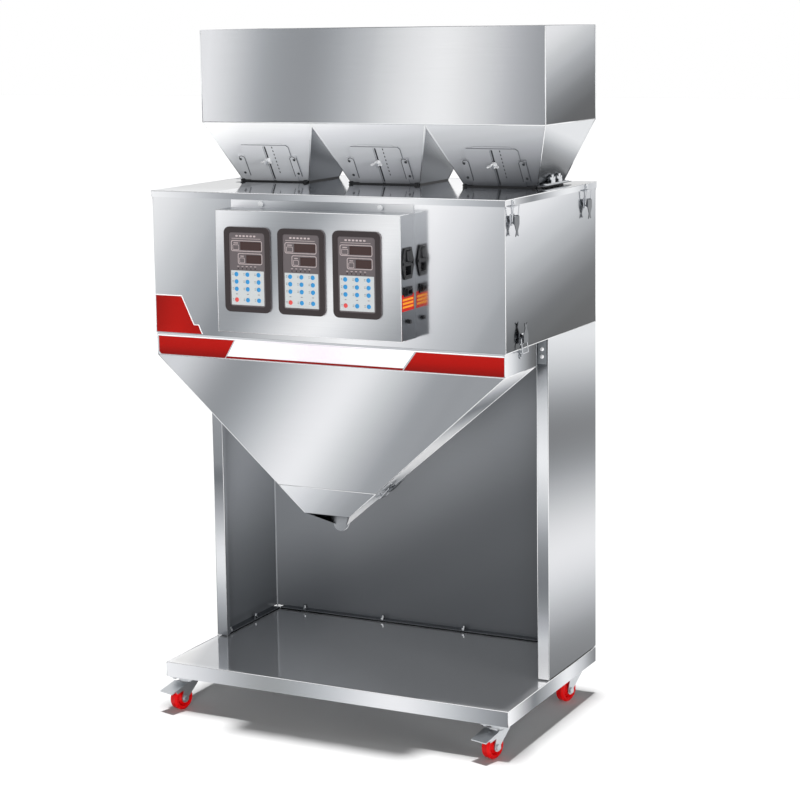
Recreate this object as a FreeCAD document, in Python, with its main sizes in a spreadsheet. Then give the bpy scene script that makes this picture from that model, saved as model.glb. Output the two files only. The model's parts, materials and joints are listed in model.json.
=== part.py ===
"""Three-head weigh filler for loose goods, on a stand with casters.

Frame: millimetres, +Z up, -Y is the operator's side, origin on the floor under the middle.
A storage bin feeds three vibrating troughs through three chutes.  Each trough fills a weigh
bucket, and the buckets drop their charge through one funnel and its nozzle over the tray.
"""
import FreeCAD
import Part
import Sketcher
import math
import os
import re

from FreeCAD import Placement, Rotation, Vector

doc = FreeCAD.newDocument("WeighFiller")

# Driving dimensions in millimetres (angles in degrees)
SIZES = {
    # Outline of the machine
    "machine_width": 780.0,
    "housing_depth": 466.0,
    "skin": 1.5,
    "caster_height": 70.0,
    "tray_height": 31.0,
    "stand_height": 700.0,
    "housing_height": 278.0,
    "lid_height": 13.0,
    "chute_height": 129.0,
    "bin_height": 192.0,
    # Fits between pieces
    "run_gap": 0.3,
    "seat_gap": 0.3,
    "pin_play": 0.05,
    "skirt_gap": 0.5,
    # Stand
    "stand_depth": 259.0,
    "post_flange": 24.0,
    "post_lip": 12.0,
    "foot_flange": 18.0,
    "foot_strip": 3.0,
    "stud_pitch": 198.0,
    "first_stud": 308.0,
    "side_stud_margin": 33.0,
    "side_stud_pitch": 110.0,
    "stud_radius": 3.0,
    "stud_height": 9.0,
    "nut_radius": 5.0,
    "nut_height": 4.0,
    "post_head_width": 12.0,
    "post_head_height": 34.0,
    "post_bolt_drop": 12.0,
    "post_bolt_pitch": 14.0,
    "channel_width": 66.0,
    "channel_wall": 2.5,
    # Casters
    "caster_inset": 33.0,
    "caster_end_inset": 30.0,
    "caster_rear_inset": 55.0,
    "caster_heading": -16.0,
    "plate_size": 54.0,
    "plate_wall": 2.5,
    "plate_screw_pitch": 40.0,
    "screw_head_radius": 5.0,
    "screw_head_height": 3.5,
    "kingpin_radius": 5.0,
    "kingpin_head": 8.0,
    "kingpin_head_height": 2.5,
    "race_radius": 19.0,
    "race_height": 8.0,
    "caster_trail": 20.0,
    "wheel_radius": 25.0,
    "wheel_width": 19.0,
    "wheel_round": 3.5,
    "hub_radius": 17.0,
    "hub_boss_wall": 3.0,
    "hub_rim_wall": 3.0,
    "axle_radius": 4.0,
    "axle_head": 6.5,
    "axle_nut_height": 3.5,
    "fork_gap": 22.0,
    "fork_wall": 2.5,
    "fork_boss": 9.0,
    "pedal_width": 38.0,
    "pedal_reach": 62.0,
    "pedal_drop": 16.0,
    "pedal_wall": 2.0,
    "pedal_pin_radius": 2.5,
    "pedal_pin_drop": 7.0,
    # Housing, lid and inner deck
    "rim_width": 15.0,
    "floor_ledge": 9.0,
    "deck_drop": 152.0,
    "deck_lip": 20.0,
    "deck_front": 195.0,
    "deck_wall": 2.0,
    # Hopper
    "bin_depth": 267.0,
    "chute_foot_width": 160.0,
    "chute_front_run": 78.0,
    "chute_rear_run": 52.0,
    "chute_lap": 3.6,
    "gasket_wall": 3.0,
    "seal_width": 5.0,
    "foot_lip": 18.0,
    "gate_run": 9.0,
    "lid_ledge": 4.0,
    # Gates
    "gate_width": 117.0,
    "gate_top": 92.0,
    "gate_bottom": 50.0,
    "gate_wall": 2.0,
    "gate_round": 5.0,
    "gate_slot_width": 7.0,
    "gate_slot_top": 86.0,
    "gate_slot_bottom": 10.0,
    "gate_hole_radius": 1.5,
    "gate_hole_pitch": 9.0,
    "gate_hole_side": 19.0,
    "guide_width": 12.0,
    "guide_wall": 1.5,
    "guide_screw_radius": 2.5,
    "guide_lap": 5.0,
    "guide_low": 14.0,
    "guide_high": 65.0,
    "gate_stud_place": 54.0,
    "gate_stud_length": 20.0,
    "wing_hub_radius": 6.0,
    "wing_hub_height": 6.0,
    "wing_span": 26.0,
    "wing_height": 10.0,
    "wing_wall": 2.5,
    # Foot clamps of the hopper
    "clamp_length": 110.0,
    "clamp_width": 12.0,
    "clamp_wall": 3.0,
    "clamp_margin": 14.0,
    "clamp_stud_length": 16.0,
    # Feed troughs and their drives
    "trough_width": 176.0,
    "trough_height": 40.0,
    "trough_drop": 62.0,
    "trough_front": 86.0,
    "trough_rear": 426.0,
    "drive_width": 110.0,
    "drive_front": 230.0,
    "drive_length": 160.0,
    "drive_height": 22.0,
    "drive_foot": 8.0,
    "drive_foot_width": 18.0,
    "leaf_width": 90.0,
    "leaf_wall": 2.0,
    "leaf_clamp": 12.0,
    "magnet_size": 45.0,
    "magnet_gap": 3.0,
    "magnet_shift": 20.0,
    "magnet_drop": 6.0,
    "armature_drop": 30.0,
    "armature_wall": 6.0,
    # Weigh buckets, doors, load cells and door motors
    "bucket_width": 180.0,
    "bucket_front": 11.0,
    "bucket_length": 120.0,
    "bucket_drop": 15.0,
    "bucket_straight": 75.0,
    "bucket_taper": 45.0,
    "bucket_side_run": 30.0,
    "bucket_end_run": 20.0,
    "door_wall": 2.0,
    "door_side_lap": 5.0,
    "door_pin_radius": 2.5,
    "door_knuckle": 5.0,
    "door_pin_back": 9.0,
    "door_pin_drop": 3.0,
    "door_ear_gap": 2.0,
    "door_ear_wall": 2.0,
    "door_arm_reach": 34.0,
    "door_arm_side": 38.0,
    "door_roller": 4.0,
    "hanger_width": 40.0,
    "hanger_back_wall": 2.5,
    "hanger_foot_wall": 3.0,
    "hanger_reach": 26.0,
    "hanger_height": 60.0,
    "cell_rear_lap": 30.0,
    "cell_hole_radius": 7.0,
    "cell_length": 88.0,
    "cell_width": 24.0,
    "cell_height": 25.0,
    "motor_width": 36.0,
    "motor_depth": 30.0,
    "motor_height": 40.0,
    "motor_bracket_width": 50.0,
    "motor_bracket_height": 70.0,
    "motor_bracket_wall": 2.0,
    "motor_drop": 75.0,
    "shaft_radius": 3.0,
    "shaft_length": 12.0,
    "cam_radius": 14.0,
    "cam_wall": 5.0,
    # Funnel and nozzle
    "funnel_depth": 150.0,
    "funnel_inset": 2.0,
    "collar_height": 46.0,
    "funnel_drop": 301.0,
    "nozzle_tip_width": 23.64,
    "outlet_depth": 70.0,
    "nozzle_height": 53.0,
    "nozzle_heel": 34.0,
    "nozzle_lip_radius": 18.0,
    "spigot_height": 15.0,
    # Control box
    "box_left": 204.0,
    "box_width": 405.0,
    "box_height": 241.0,
    "box_depth": 60.0,
    "box_drop": 16.0,
    "box_bolt_head": 6.0,
    "box_bolt_height": 4.0,
    "box_bolt_drop": 8.0,
    "box_bolt_inset": 70.0,
    "bezel_height": 168.0,
    "bezel_proud": 4.0,
    "bezel_rim": 11.0,
    "bezel_round": 12.0,
    "bezel_gap": 18.0,
    "bezel_margin": 19.0,
    "inlet_margin": 41.0,
    "bezel_drop": 32.0,
    "face_depth": 1.6,
    "module_depth": 34.0,
    "module_inset": 5.0,
    "window_width": 46.0,
    "window_height": 16.0,
    "small_window_width": 33.0,
    "window_wall": 1.0,
    "keypad_margin": 3.5,
    "keypad_height": 68.0,
    "keypad_wall": 0.5,
    "keypad_rise": 14.0,
    "inlet_width": 51.0,
    "inlet_height": 60.0,
    "inlet_wall": 3.0,
    "inlet_screw_radius": 3.0,
    "inlet_screw_height": 1.5,
    "inlet_screw_pitch": 40.0,
    "inlet_drop": 93.0,
    "inlet_body_depth": 26.0,
    "rocker_width": 16.0,
    "rocker_pin_radius": 1.5,
    "rocker_height": 20.0,
    "plug_width": 32.0,
    "plug_height": 18.0,
    # Toggle latches
    "latch_front_inset": 34.0,
    "latch_rear_inset": 57.0,
    "latch_pivot_drop": 34.0,
    "lower_latch_inset": 74.0,
    "latch_lever_length": 37.0,
    "latch_lever_width": 22.0,
    "latch_wall": 1.5,
    "latch_ear_gap": 14.0,
    "latch_pivot_out": 5.5,
    "latch_pin_radius": 1.5,
    "latch_base_height": 22.0,
    "latch_base_top": 6.0,
    "latch_keeper_rise": 27.0,
    "nozzle_latch_rise": 7.0,
    "bail_wire": 1.2,
    "bail_half_width": 13.5,
    "bail_reach": 21.0,
    "bail_tail": 8.0,
    "keeper_radius": 7.0,
    "keeper_screw_radius": 3.0,
    "hook_width": 16.0,
    "hook_out": 3.0,
}

# Places that follow from the driving dimensions
PLACES = {
    "rear_y": "(housing_depth + box_depth + bezel_proud - skirt_gap - skin) / 2",
    "front_y": "rear_y - housing_depth",
    "side_x": "machine_width / 2",
    "tray_top": "caster_height + tray_height",
    "housing_z": "tray_top + stand_height",
    "lid_z": "housing_z + housing_height",
    "lid_top": "lid_z + lid_height",
    "chute_z": "lid_top + gasket_wall",
    "chute_rise": "chute_height - gasket_wall",
    "bin_z": "lid_top + chute_height",
    "stand_y": "rear_y - stand_depth",
    "bin_y": "rear_y - bin_depth",
    "chute_front_y": "bin_y + chute_front_run",
    "chute_rear_y": "rear_y - chute_rear_run",
    "chute_pitch": "machine_width / 3",
    "chute_lean": "atan(chute_front_run / chute_rise)",
    "clamp_x": "chute_pitch + chute_foot_width / 2 + 5 + clamp_width / 2",
    "deck_z": "lid_z - deck_drop",
    "deck_y": "front_y + deck_front",
    "trough_z": "lid_top - trough_drop",
    "trough_y0": "front_y + trough_front",
    "trough_y1": "front_y + trough_rear",
    "bucket_top": "trough_z - bucket_drop",
    "bucket_bend": "bucket_top - bucket_straight",
    "bucket_foot": "bucket_bend - bucket_taper",
    "bucket_y0": "front_y + bucket_front",
    "bucket_y1": "bucket_y0 + bucket_length",
    "door_axis_y": "bucket_y1 - bucket_end_run + door_pin_back",
    "door_axis_z": "bucket_foot - door_pin_drop",
    "funnel_x": "side_x - funnel_inset",
    "collar_z": "housing_z - collar_height",
    "outlet_z": "collar_z - funnel_drop",
    "outlet_y": "front_y + outlet_depth",
    "seam_z": "outlet_z + nozzle_height",
    "funnel_run": "(funnel_x - nozzle_tip_width / 2) / (funnel_drop + nozzle_heel)",
    "outlet_width": "nozzle_tip_width + 2 * funnel_run * nozzle_heel",
    "funnel_rear_run": "(funnel_depth - outlet_depth) / funnel_drop",
    "funnel_lean": "atan(funnel_run)",
    "slope_wall": "skin * 1.5",
    "seam_x": "outlet_width / 2 + funnel_run * nozzle_height",
    "seam_y": "outlet_y + funnel_rear_run * nozzle_height",
    "box_x": "-box_left",
    "box_y": "front_y - box_depth",
    "box_top": "lid_z - box_drop",
    "box_z": "box_top - box_height",
    "bezel_width": "(box_width - bezel_margin - inlet_margin - 2 * bezel_gap) / 3",
    "bezel_pitch": "bezel_width + bezel_gap",
    "keypad_width": "bezel_width - 2 * (bezel_rim + keypad_margin)",
    "bezel_top": "box_top - bezel_drop",
    "bezel_z": "bezel_top - bezel_height",
    "face_y": "box_y - bezel_proud + face_depth",
    "keypad_z": "bezel_z + keypad_rise",
    "inlet_x": "box_x + box_width",
    "inlet_y": "box_y + box_depth / 2 - 3",
    "inlet_z": "box_top - inlet_drop",
    "plate_z": "caster_height - plate_wall",
    "race_top": "plate_z - run_gap",
    "race_z": "race_top - race_height",
    "caster_x": "side_x - caster_inset",
    "front_caster_y": "front_y + caster_end_inset",
    "rear_caster_y": "rear_y - caster_rear_inset",
    "latch_z": "lid_top - latch_pivot_drop",
    "lower_latch_z": "housing_z + 14",
    "front_latch_y": "front_y + latch_front_inset",
    "rear_latch_y": "rear_y - latch_rear_inset",
    "lower_latch_y": "front_y + lower_latch_inset",
}

sheet = doc.addObject("Spreadsheet::Sheet", "Sizes")
for row, (word, number) in enumerate(SIZES.items(), start=1):
    sheet.set(f"A{row}", word)
    sheet.set(f"B{row}", str(number))
    sheet.setAlias(f"B{row}", word)
doc.recompute()


def formula(text):
    """Point each word of a formula at the sheet that holds it."""
    def owner(match):
        word = match.group(0)
        if word in SIZES:
            return "Sizes." + word
        if word in PLACES:
            return "Places." + word
        return word
    return re.sub(r"[A-Za-z_][A-Za-z_0-9]*", owner, str(text))


places = doc.addObject("Spreadsheet::Sheet", "Places")
for row, (word, text) in enumerate(PLACES.items(), start=1):
    places.set(f"A{row}", word)
    places.set(f"B{row}", "=" + formula(text))
    places.setAlias(f"B{row}", word)
doc.recompute()


def number(word):
    """Read one size or place as a plain number."""
    owner = sheet if word in SIZES else places
    found = owner.get(word)
    return float(getattr(found, "Value", found))


# Sides of nuts and screw heads, of small round trim and of larger round trim: small fasteners
# that repeat are drawn with few faces, and what turns or fits stays truly round
HEXAGON = 6
SMALL_ROUND = 8
LARGE_ROUND = 16
SKETCH_SPREAD = 30.0

NODES = []
X_AXIS = Vector(1, 0, 0)
Y_AXIS = Vector(0, 1, 0)
Z_AXIS = Vector(0, 0, 1)


def bind(item, **formulas):
    """Bind properties of one object to formulas of sheet words."""
    for name, text in formulas.items():
        item.setExpression(name, formula(text))


def move(item, x="0", y="0", z="0"):
    """Bind the place of one object."""
    item.setExpression("Placement.Base.x", formula(x))
    item.setExpression("Placement.Base.y", formula(y))
    item.setExpression("Placement.Base.z", formula(z))
    return item


def turn(item, axis, angle):
    """Turn one object about an axis through its own origin."""
    item.Placement = Placement(item.Placement.Base, Rotation(axis, 10.0))
    item.setExpression("Placement.Rotation.Angle", formula(angle))
    return item


def block(name, x, y, z, length, width, height):
    """A box from its lowest corner."""
    item = doc.addObject("Part::Box", name)
    bind(item, Length=length, Width=width, Height=height)
    return move(item, x, y, z)


def aim(item, along):
    """Point a bar drawn along +Z along +X or +Y instead."""
    if along == "X":
        item.Placement = Placement(Vector(), Rotation(Y_AXIS, 90))
    if along == "Y":
        item.Placement = Placement(Vector(), Rotation(X_AXIS, -90))
    return item


def rod(name, radius, length, x="0", y="0", z="0", along="Z"):
    """A round bar that starts at a point and runs along +X, +Y or +Z."""
    item = doc.addObject("Part::Cylinder", name)
    bind(item, Radius=radius, Height=length)
    return move(aim(item, along), x, y, z)


def prism(name, sides, radius, length, x="0", y="0", z="0", along="Z"):
    """A bar of regular section, such as a hexagon nut, given by the radius to its corners."""
    item = doc.addObject("Part::Prism", name)
    item.Polygon = sides
    bind(item, Circumradius=radius, Height=length)
    return move(aim(item, along), x, y, z)


def taper(name, low, high, low_box, high_box):
    """A frustum along Z between two rectangles, each given as x0, x1, y0, y1."""
    item = doc.addObject("Part::Wedge", name)
    item.Placement = Placement(Vector(), Rotation(X_AXIS, 90))
    bind(item, Ymin=low, Ymax=high, Xmin=low_box[0], Xmax=low_box[1], X2min=high_box[0],
         X2max=high_box[1], Zmin=f"-({low_box[3]})", Zmax=f"-({low_box[2]})",
         Z2min=f"-({high_box[3]})", Z2max=f"-({high_box[2]})")
    return item


def fuse(name, *items):
    """Join solids into one."""
    item = doc.addObject("Part::MultiFuse", name)
    item.Shapes = list(items)
    item.Refine = True
    return item


def cut(name, base, *tools):
    """Take tools away from a base."""
    item = doc.addObject("Part::Cut", name)
    item.Base = base
    item.Tool = tools[0] if len(tools) == 1 else fuse(name + "Tools", *tools)
    item.Refine = True
    return item


def group(name, *items):
    """Keep several solids together in one named piece."""
    item = doc.addObject("Part::Compound", name)
    item.Links = list(items)
    return item


def keep(item, label):
    """Name a finished sub-part."""
    item.Label = label
    NODES.append(item)
    return item


def body_plane(body, role):
    """One of a body's own origin planes."""
    for feature in body.Origin.OriginFeatures:
        if feature.Role == role:
            return feature
    raise ValueError(role)


def outline(body, role, name, points):
    """A closed sketch of straight lines whose corners are bound to pairs of formulas."""
    sketch = body.newObject("Sketcher::SketchObject", name)
    sketch.AttachmentSupport = [(body_plane(body, role), "")]
    sketch.MapMode = "FlatFace"
    count = len(points)
    middle = (count - 1) / 2
    start = []
    for index in range(count):
        angle = 2 * math.pi * index / count
        start.append(Vector(SKETCH_SPREAD * math.cos(angle) + middle,
                            SKETCH_SPREAD * math.sin(angle), 0))
    for index in range(count):
        sketch.addGeometry(Part.LineSegment(start[index], start[(index + 1) % count]), False)
    for index in range(count):
        sketch.addConstraint(Sketcher.Constraint("Coincident", index, 2, (index + 1) % count, 1))
    for index, (across, up) in enumerate(points):
        place = start[index]
        first = sketch.addConstraint(Sketcher.Constraint("DistanceX", -1, 1, index, 1, place.x))
        second = sketch.addConstraint(Sketcher.Constraint("DistanceY", -1, 1, index, 1, place.y))
        sketch.setExpression(f"Constraints[{first}]", formula(across))
        sketch.setExpression(f"Constraints[{second}]", formula(up))
    return sketch


def plate_body(name, role, points, thickness, symmetric=False, back=False):
    """A body padded from one outline."""
    body = doc.addObject("PartDesign::Body", name)
    sketch = outline(body, role, name + "Outline", points)
    pad = body.newObject("PartDesign::Pad", name + "Pad")
    pad.Profile = sketch
    pad.SideType = "Symmetric" if symmetric else "One side"
    pad.Reversed = back
    bind(pad, Length=thickness)
    return body


def turned_body(name, points):
    """A body turned about its own X axis from a half section."""
    body = doc.addObject("PartDesign::Body", name)
    sketch = outline(body, "XY_Plane", name + "Section", points)
    ring = body.newObject("PartDesign::Revolution", name + "Turned")
    ring.Profile = sketch
    ring.ReferenceAxis = (sketch, ["H_Axis"])
    ring.Angle = 360
    return body


# Stand: tray, channels under it, side and back panels

def make_tray():
    shell = block("TrayShell", "-side_x", "front_y", "caster_height",
                  "machine_width", "housing_depth", "tray_height")
    hollow = block("TrayHollow", "-side_x + skin", "front_y + skin", "caster_height - 1",
                   "machine_width - 2 * skin", "housing_depth - 2 * skin", "tray_height - skin + 1")
    keep(cut("TrayPan", shell, hollow), "base_tray")


def caster_places():
    """Name, x and y of the four swivel axes."""
    return [
        ("front_left", "-caster_x", "front_caster_y"),
        ("front_right", "caster_x", "front_caster_y"),
        ("rear_left", "-caster_x", "rear_caster_y"),
        ("rear_right", "caster_x", "rear_caster_y"),
    ]


def screw_offsets():
    """The four screw places round a caster plate."""
    half = "plate_screw_pitch / 2"
    return [(f"-{half}", f"-{half}"), (half, f"-{half}"), (f"-{half}", half), (half, half)]


def channels():
    """The two channels under the tray that take the caster screws."""
    bars = []
    for side, sign in (("Left", "-1"), ("Right", "1")):
        inner = f"{sign} * (side_x - skin - channel_width / 2) - channel_width / 2"
        bar = block(side + "ChannelBar", inner, "front_y + skin", "caster_height",
                    "channel_width", "housing_depth - 2 * skin", "tray_height - skin")
        hollow = block(side + "ChannelHollow", f"{inner} + channel_wall", "front_y",
                       "caster_height + channel_wall", "channel_width - 2 * channel_wall",
                       "housing_depth", "tray_height")
        bars.append(cut(side + "Channel", bar, hollow))
    return bars


def make_panels():
    """Side panels folded to a post at the front, and the back panel between them."""
    high = "stand_height - foot_strip"
    low = "tray_top + foot_strip"
    foot_length = "stand_depth - post_lip - 6 - 2 * skin - foot_flange"
    sides = []
    for side, edge, inward in (("Left", "-side_x", "1"), ("Right", "side_x", "-1")):
        points = [
            (edge, "stand_y"),
            (f"{edge} + {inward} * post_flange", "stand_y"),
            (f"{edge} + {inward} * post_flange", "stand_y + post_lip"),
            (f"{edge} + {inward} * (post_flange - skin)", "stand_y + post_lip"),
            (f"{edge} + {inward} * (post_flange - skin)", "stand_y + skin"),
            (f"{edge} + {inward} * skin", "stand_y + skin"),
            (f"{edge} + {inward} * skin", "rear_y - skin"),
            (f"{edge} + {inward} * post_lip", "rear_y - skin"),
            (f"{edge} + {inward} * post_lip", "rear_y"),
            (edge, "rear_y"),
        ]
        wall = plate_body(side + "PanelWall", "XY_Plane", points, high)
        move(wall, z=low)
        start = "-side_x + skin" if side == "Left" else "side_x - skin - foot_flange"
        foot = block(side + "PanelFoot", start, "stand_y + post_lip + 6", low, "foot_flange",
                     foot_length, "skin")
        sides.append(fuse(side + "Panel", wall, foot))
    keep(group("SidePanels", *sides), "stand_side_panels")
    back = block("BackWall", "-side_x + post_lip", "rear_y - 2 * skin", low,
                 "machine_width - 2 * post_lip", "skin", high)
    lap = block("BackWallLap", "-side_x + skin", "rear_y - 2 * skin", low,
                "machine_width - 2 * skin", "skin", high)
    inset = "skin + foot_flange + 2"
    foot = block("BackFoot", f"-side_x + {inset}", "rear_y - 2 * skin - foot_flange",
                 low, f"machine_width - 2 * ({inset})", "foot_flange", "skin")
    keep(fuse("BackPanel", back, lap, foot), "stand_back_panel")


def make_fixings():
    """Foot studs with nuts and sealing strips, post heads, and the bolts of the control box."""
    items = []
    foot_top = "tray_top + foot_strip + skin"
    spots = []
    for index in range(4):
        spots.append((f"Rear{index}", f"-first_stud + {index} * stud_pitch",
                      "rear_y - 2 * skin - foot_flange / 2 - 2"))
    for side, sign in (("Left", "-1"), ("Right", "1")):
        for index in range(2):
            spots.append((f"{side}{index}", f"{sign} * (side_x - skin - foot_flange / 2 - 2)",
                          f"stand_y + side_stud_margin + {index} * side_stud_pitch"))
    for name, x, y in spots:
        items.append(prism(name + "Nut", HEXAGON, "nut_radius", "nut_height", x, y, foot_top))
        items.append(prism(name + "Stud", SMALL_ROUND, "stud_radius", "stud_height - nut_height",
                           x, y, f"{foot_top} + nut_height"))
    for side, sign in (("Left", "-1"), ("Right", "1")):
        start = f"{sign} * (side_x - skin - foot_flange / 2) - foot_flange / 2"
        items.append(block(f"{side}FootStrip", start, "stand_y + post_lip + 6", "tray_top",
                           "foot_flange", "stand_depth - post_lip - 6 - 2 * skin - foot_flange",
                           "foot_strip"))
        # Short bracket that ties the post head to the housing floor
        middle = f"{sign} * (side_x - post_flange - post_head_width / 2)"
        items.append(block(f"{side}PostHead", f"{middle} - post_head_width / 2", "stand_y + skin",
                           "housing_z - post_head_height", "post_head_width", "skin",
                           "post_head_height"))
        for index in range(2):
            items.append(prism(f"{side}PostBolt{index}", HEXAGON, "nut_radius", "nut_height",
                               middle, "stand_y + skin - nut_height",
                               f"housing_z - post_bolt_drop - {index} * post_bolt_pitch", "Y"))
    inset = "skin + foot_flange + 2"
    items.append(block("RearFootStrip", f"-side_x + {inset}", "rear_y - 2 * skin - foot_flange",
                       "tray_top", f"machine_width - 2 * ({inset})", "foot_flange",
                       "foot_strip"))
    for side, x in (("Left", "box_x + box_bolt_inset"),
                    ("Right", "box_x + box_width - box_bolt_inset")):
        items.append(prism(f"{side}BoxBoltHead", LARGE_ROUND, "box_bolt_head",
                           "box_bolt_height", x, "front_y - skin - box_bolt_height",
                           "lid_z - box_bolt_drop", "Y"))
    keep(group("Fixings", *items), "stand_fixings")


# Casters

def make_caster_mounts():
    """The channels with a plate, a kingpin and four screw heads for each caster."""
    items = channels()
    for name, x, y in caster_places():
        plate = block(name + "Plate", f"{x} - plate_size / 2", f"{y} - plate_size / 2", "plate_z",
                      "plate_size", "plate_size", "plate_wall")
        pin = rod(name + "Kingpin", "kingpin_radius",
                  "race_height + 2 * run_gap + kingpin_head_height", x, y,
                  "race_z - run_gap - kingpin_head_height")
        head = prism(name + "KingpinHead", LARGE_ROUND, "kingpin_head", "kingpin_head_height", x, y,
                     "race_z - run_gap - kingpin_head_height")
        items.append(fuse(name + "PlateAndPin", plate, pin, head))
        for index, (dx, dy) in enumerate(screw_offsets()):
            spot = (f"{x} + {dx}", f"{y} + {dy}")
            head = prism(f"{name}ScrewHead{index}", HEXAGON, "screw_head_radius",
                         "screw_head_height", *spot, "plate_z - screw_head_height")
            items.append(head)
    keep(group("CasterMounts", *items), "caster_mounts")


def make_fork(name, braked):
    """A swivel fork: race with two cheeks, bored for kingpin, axle and any pedal, and its axle."""
    half = "fork_gap / 2 + fork_wall"
    points = [
        ("race_radius - 1", "race_z + 1"),
        ("race_radius - 1", "race_z - 4"),
        ("-caster_trail + fork_boss", "wheel_radius + 2"),
        ("-caster_trail - fork_boss", "wheel_radius + 2"),
        ("-caster_trail - 2", "race_z - 11"),
        ("-race_radius + 6", "race_z + 1"),
    ]
    cheeks = plate_body(name + "Cheeks", "YZ_Plane", points, f"2 * ({half})", symmetric=True)
    boss = prism(name + "Boss", LARGE_ROUND, "fork_boss", f"2 * ({half})", f"-({half})",
                 "-caster_trail", "wheel_radius", "X")
    race = prism(name + "Race", 2 * LARGE_ROUND, "race_radius", "race_height", z="race_z")
    solid = fuse(name + "ForkSolid", cheeks, boss, race)
    gap = block(name + "WheelGap", "-fork_gap / 2", "-3 * race_radius", "0", "fork_gap",
                "6 * race_radius", "race_z")
    bore = rod(name + "AxleBore", "axle_radius", "4 * fork_gap", "-2 * fork_gap", "-caster_trail",
               "wheel_radius", "X")
    king = rod(name + "KingBore", "kingpin_radius + pin_play", "race_height + 20",
               z="race_z - 10")
    holes = [gap, bore, king]
    if braked:
        holes.append(rod(name + "PedalBore", "pedal_pin_radius + pin_play", "4 * fork_gap",
                         "-2 * fork_gap", "-caster_trail / 3", "race_z - pedal_pin_drop", "X"))
    fork = cut(name + "ForkBody", solid, *holes)
    axle = rod(name + "Axle", "axle_radius", f"2 * ({half})", f"-({half})", "-caster_trail",
               "wheel_radius", "X")
    head = prism(name + "AxleHead", HEXAGON, "axle_head", "axle_nut_height", half,
                 "-caster_trail", "wheel_radius", "X")
    nut = prism(name + "AxleNut", HEXAGON, "axle_head", "axle_nut_height",
                f"-({half}) - axle_nut_height", "-caster_trail", "wheel_radius", "X")
    return group(name + "Fork", fork, fuse(name + "AxleSet", axle, head, nut))


def make_wheel(name):
    """A wheel: a tyre with chamfered shoulders cast on a dished hub."""
    tyre = turned_body(name + "Tyre", [
        ("-wheel_width / 2", "hub_radius"),
        ("wheel_width / 2", "hub_radius"),
        ("wheel_width / 2", "wheel_radius - wheel_round"),
        ("wheel_width / 2 - wheel_round", "wheel_radius"),
        ("-wheel_width / 2 + wheel_round", "wheel_radius"),
        ("-wheel_width / 2", "wheel_radius - wheel_round"),
    ])
    web = "wheel_width / 5"
    hub = turned_body(name + "Hub", [
        ("-fork_gap / 2 + run_gap", "axle_radius + pin_play"),
        ("fork_gap / 2 - run_gap", "axle_radius + pin_play"),
        ("fork_gap / 2 - run_gap", "axle_radius + hub_boss_wall"),
        (web, "hub_radius - hub_rim_wall"),
        ("wheel_width / 2", "hub_radius"),
        ("-wheel_width / 2", "hub_radius"),
        (f"-{web}", "hub_radius - hub_rim_wall"),
        ("-fork_gap / 2 + run_gap", "axle_radius + hub_boss_wall"),
    ])
    both = group(name + "WheelSet", tyre, hub)
    move(both, y="-caster_trail", z="wheel_radius")
    return group(name + "Wheel", both)


def make_pedal(name):
    """A brake pedal that straddles the fork and slopes down past the wheel."""
    inner = "fork_gap / 2 + fork_wall + run_gap"
    root_y = "-race_radius - 2"
    root_z = "race_z - 1"
    tip_z = f"{root_z} - pedal_drop + 3"
    top = plate_body(name + "PedalTop", "YZ_Plane", [
        (root_y, root_z),
        ("-pedal_reach", tip_z),
        ("-pedal_reach", f"{tip_z} - pedal_wall"),
        (root_y, f"{root_z} - pedal_wall"),
    ], "pedal_width", symmetric=True)
    parts = [top]
    for side, start, stub in (("Left", f"-({inner}) - pedal_wall",
                               f"-({inner}) - pedal_wall / 2"),
                              ("Right", inner, "fork_gap / 2 + run_gap")):
        cheek = plate_body(name + "PedalCheek" + side, "YZ_Plane", [
            (root_y, root_z),
            ("-pedal_reach + 14", f"{tip_z} + 3"),
            ("-pedal_reach + 18", f"{tip_z} - 5"),
            (f"{root_y} - 6", f"{root_z} - 14"),
            ("-caster_trail / 3 + 4", "race_z - pedal_pin_drop - 4"),
            ("-caster_trail / 3 + 4", "race_z - pedal_pin_drop + 4"),
        ], "pedal_wall")
        parts.append(move(cheek, x=start))
        parts.append(rod(name + "PedalPin" + side, "pedal_pin_radius",
                         "fork_wall + pedal_wall / 2", stub, "-caster_trail / 3",
                         "race_z - pedal_pin_drop", "X"))
    return fuse(name + "Pedal", *parts)


def make_casters():
    for name, x, y in caster_places():
        braked = name.startswith("front")
        tag = "".join(part.title() for part in name.split("_"))
        pieces = {"caster_fork_": make_fork(tag, braked), "caster_wheel_": make_wheel(tag)}
        if braked:
            pieces["caster_brake_"] = make_pedal(tag)
        for prefix, piece in pieces.items():
            turn(piece, Z_AXIS, "360 + caster_heading")
            keep(move(piece, x, y), prefix + name)


# Housing, lid, hopper

def chute_x(index):
    """Middle of one of the three chutes, from left to right."""
    return f"{index - 1} * chute_pitch"


def make_housing():
    high = "housing_height + lid_height - skin"
    shell = block("HousingShell", "-side_x", "front_y", "housing_z", "machine_width",
                  "housing_depth", high)
    hollow = block("HousingHollow", "-side_x + skin", "front_y + skin", "housing_z + skin",
                   "machine_width - 2 * skin", "housing_depth - 2 * skin", f"{high} - 2 * skin")
    mouth = block("HousingMouth", "-side_x + rim_width", "front_y + rim_width",
                  "housing_z + 10", "machine_width - 2 * rim_width",
                  "housing_depth - 2 * rim_width", high)
    drop = block("HousingDrop", "-side_x + floor_ledge", "front_y + floor_ledge", "housing_z - 1",
                 "machine_width - 2 * floor_ledge", "funnel_depth - 2 * floor_ledge", "10")
    keep(cut("Housing", shell, hollow, mouth, drop), "housing_shell")


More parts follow.
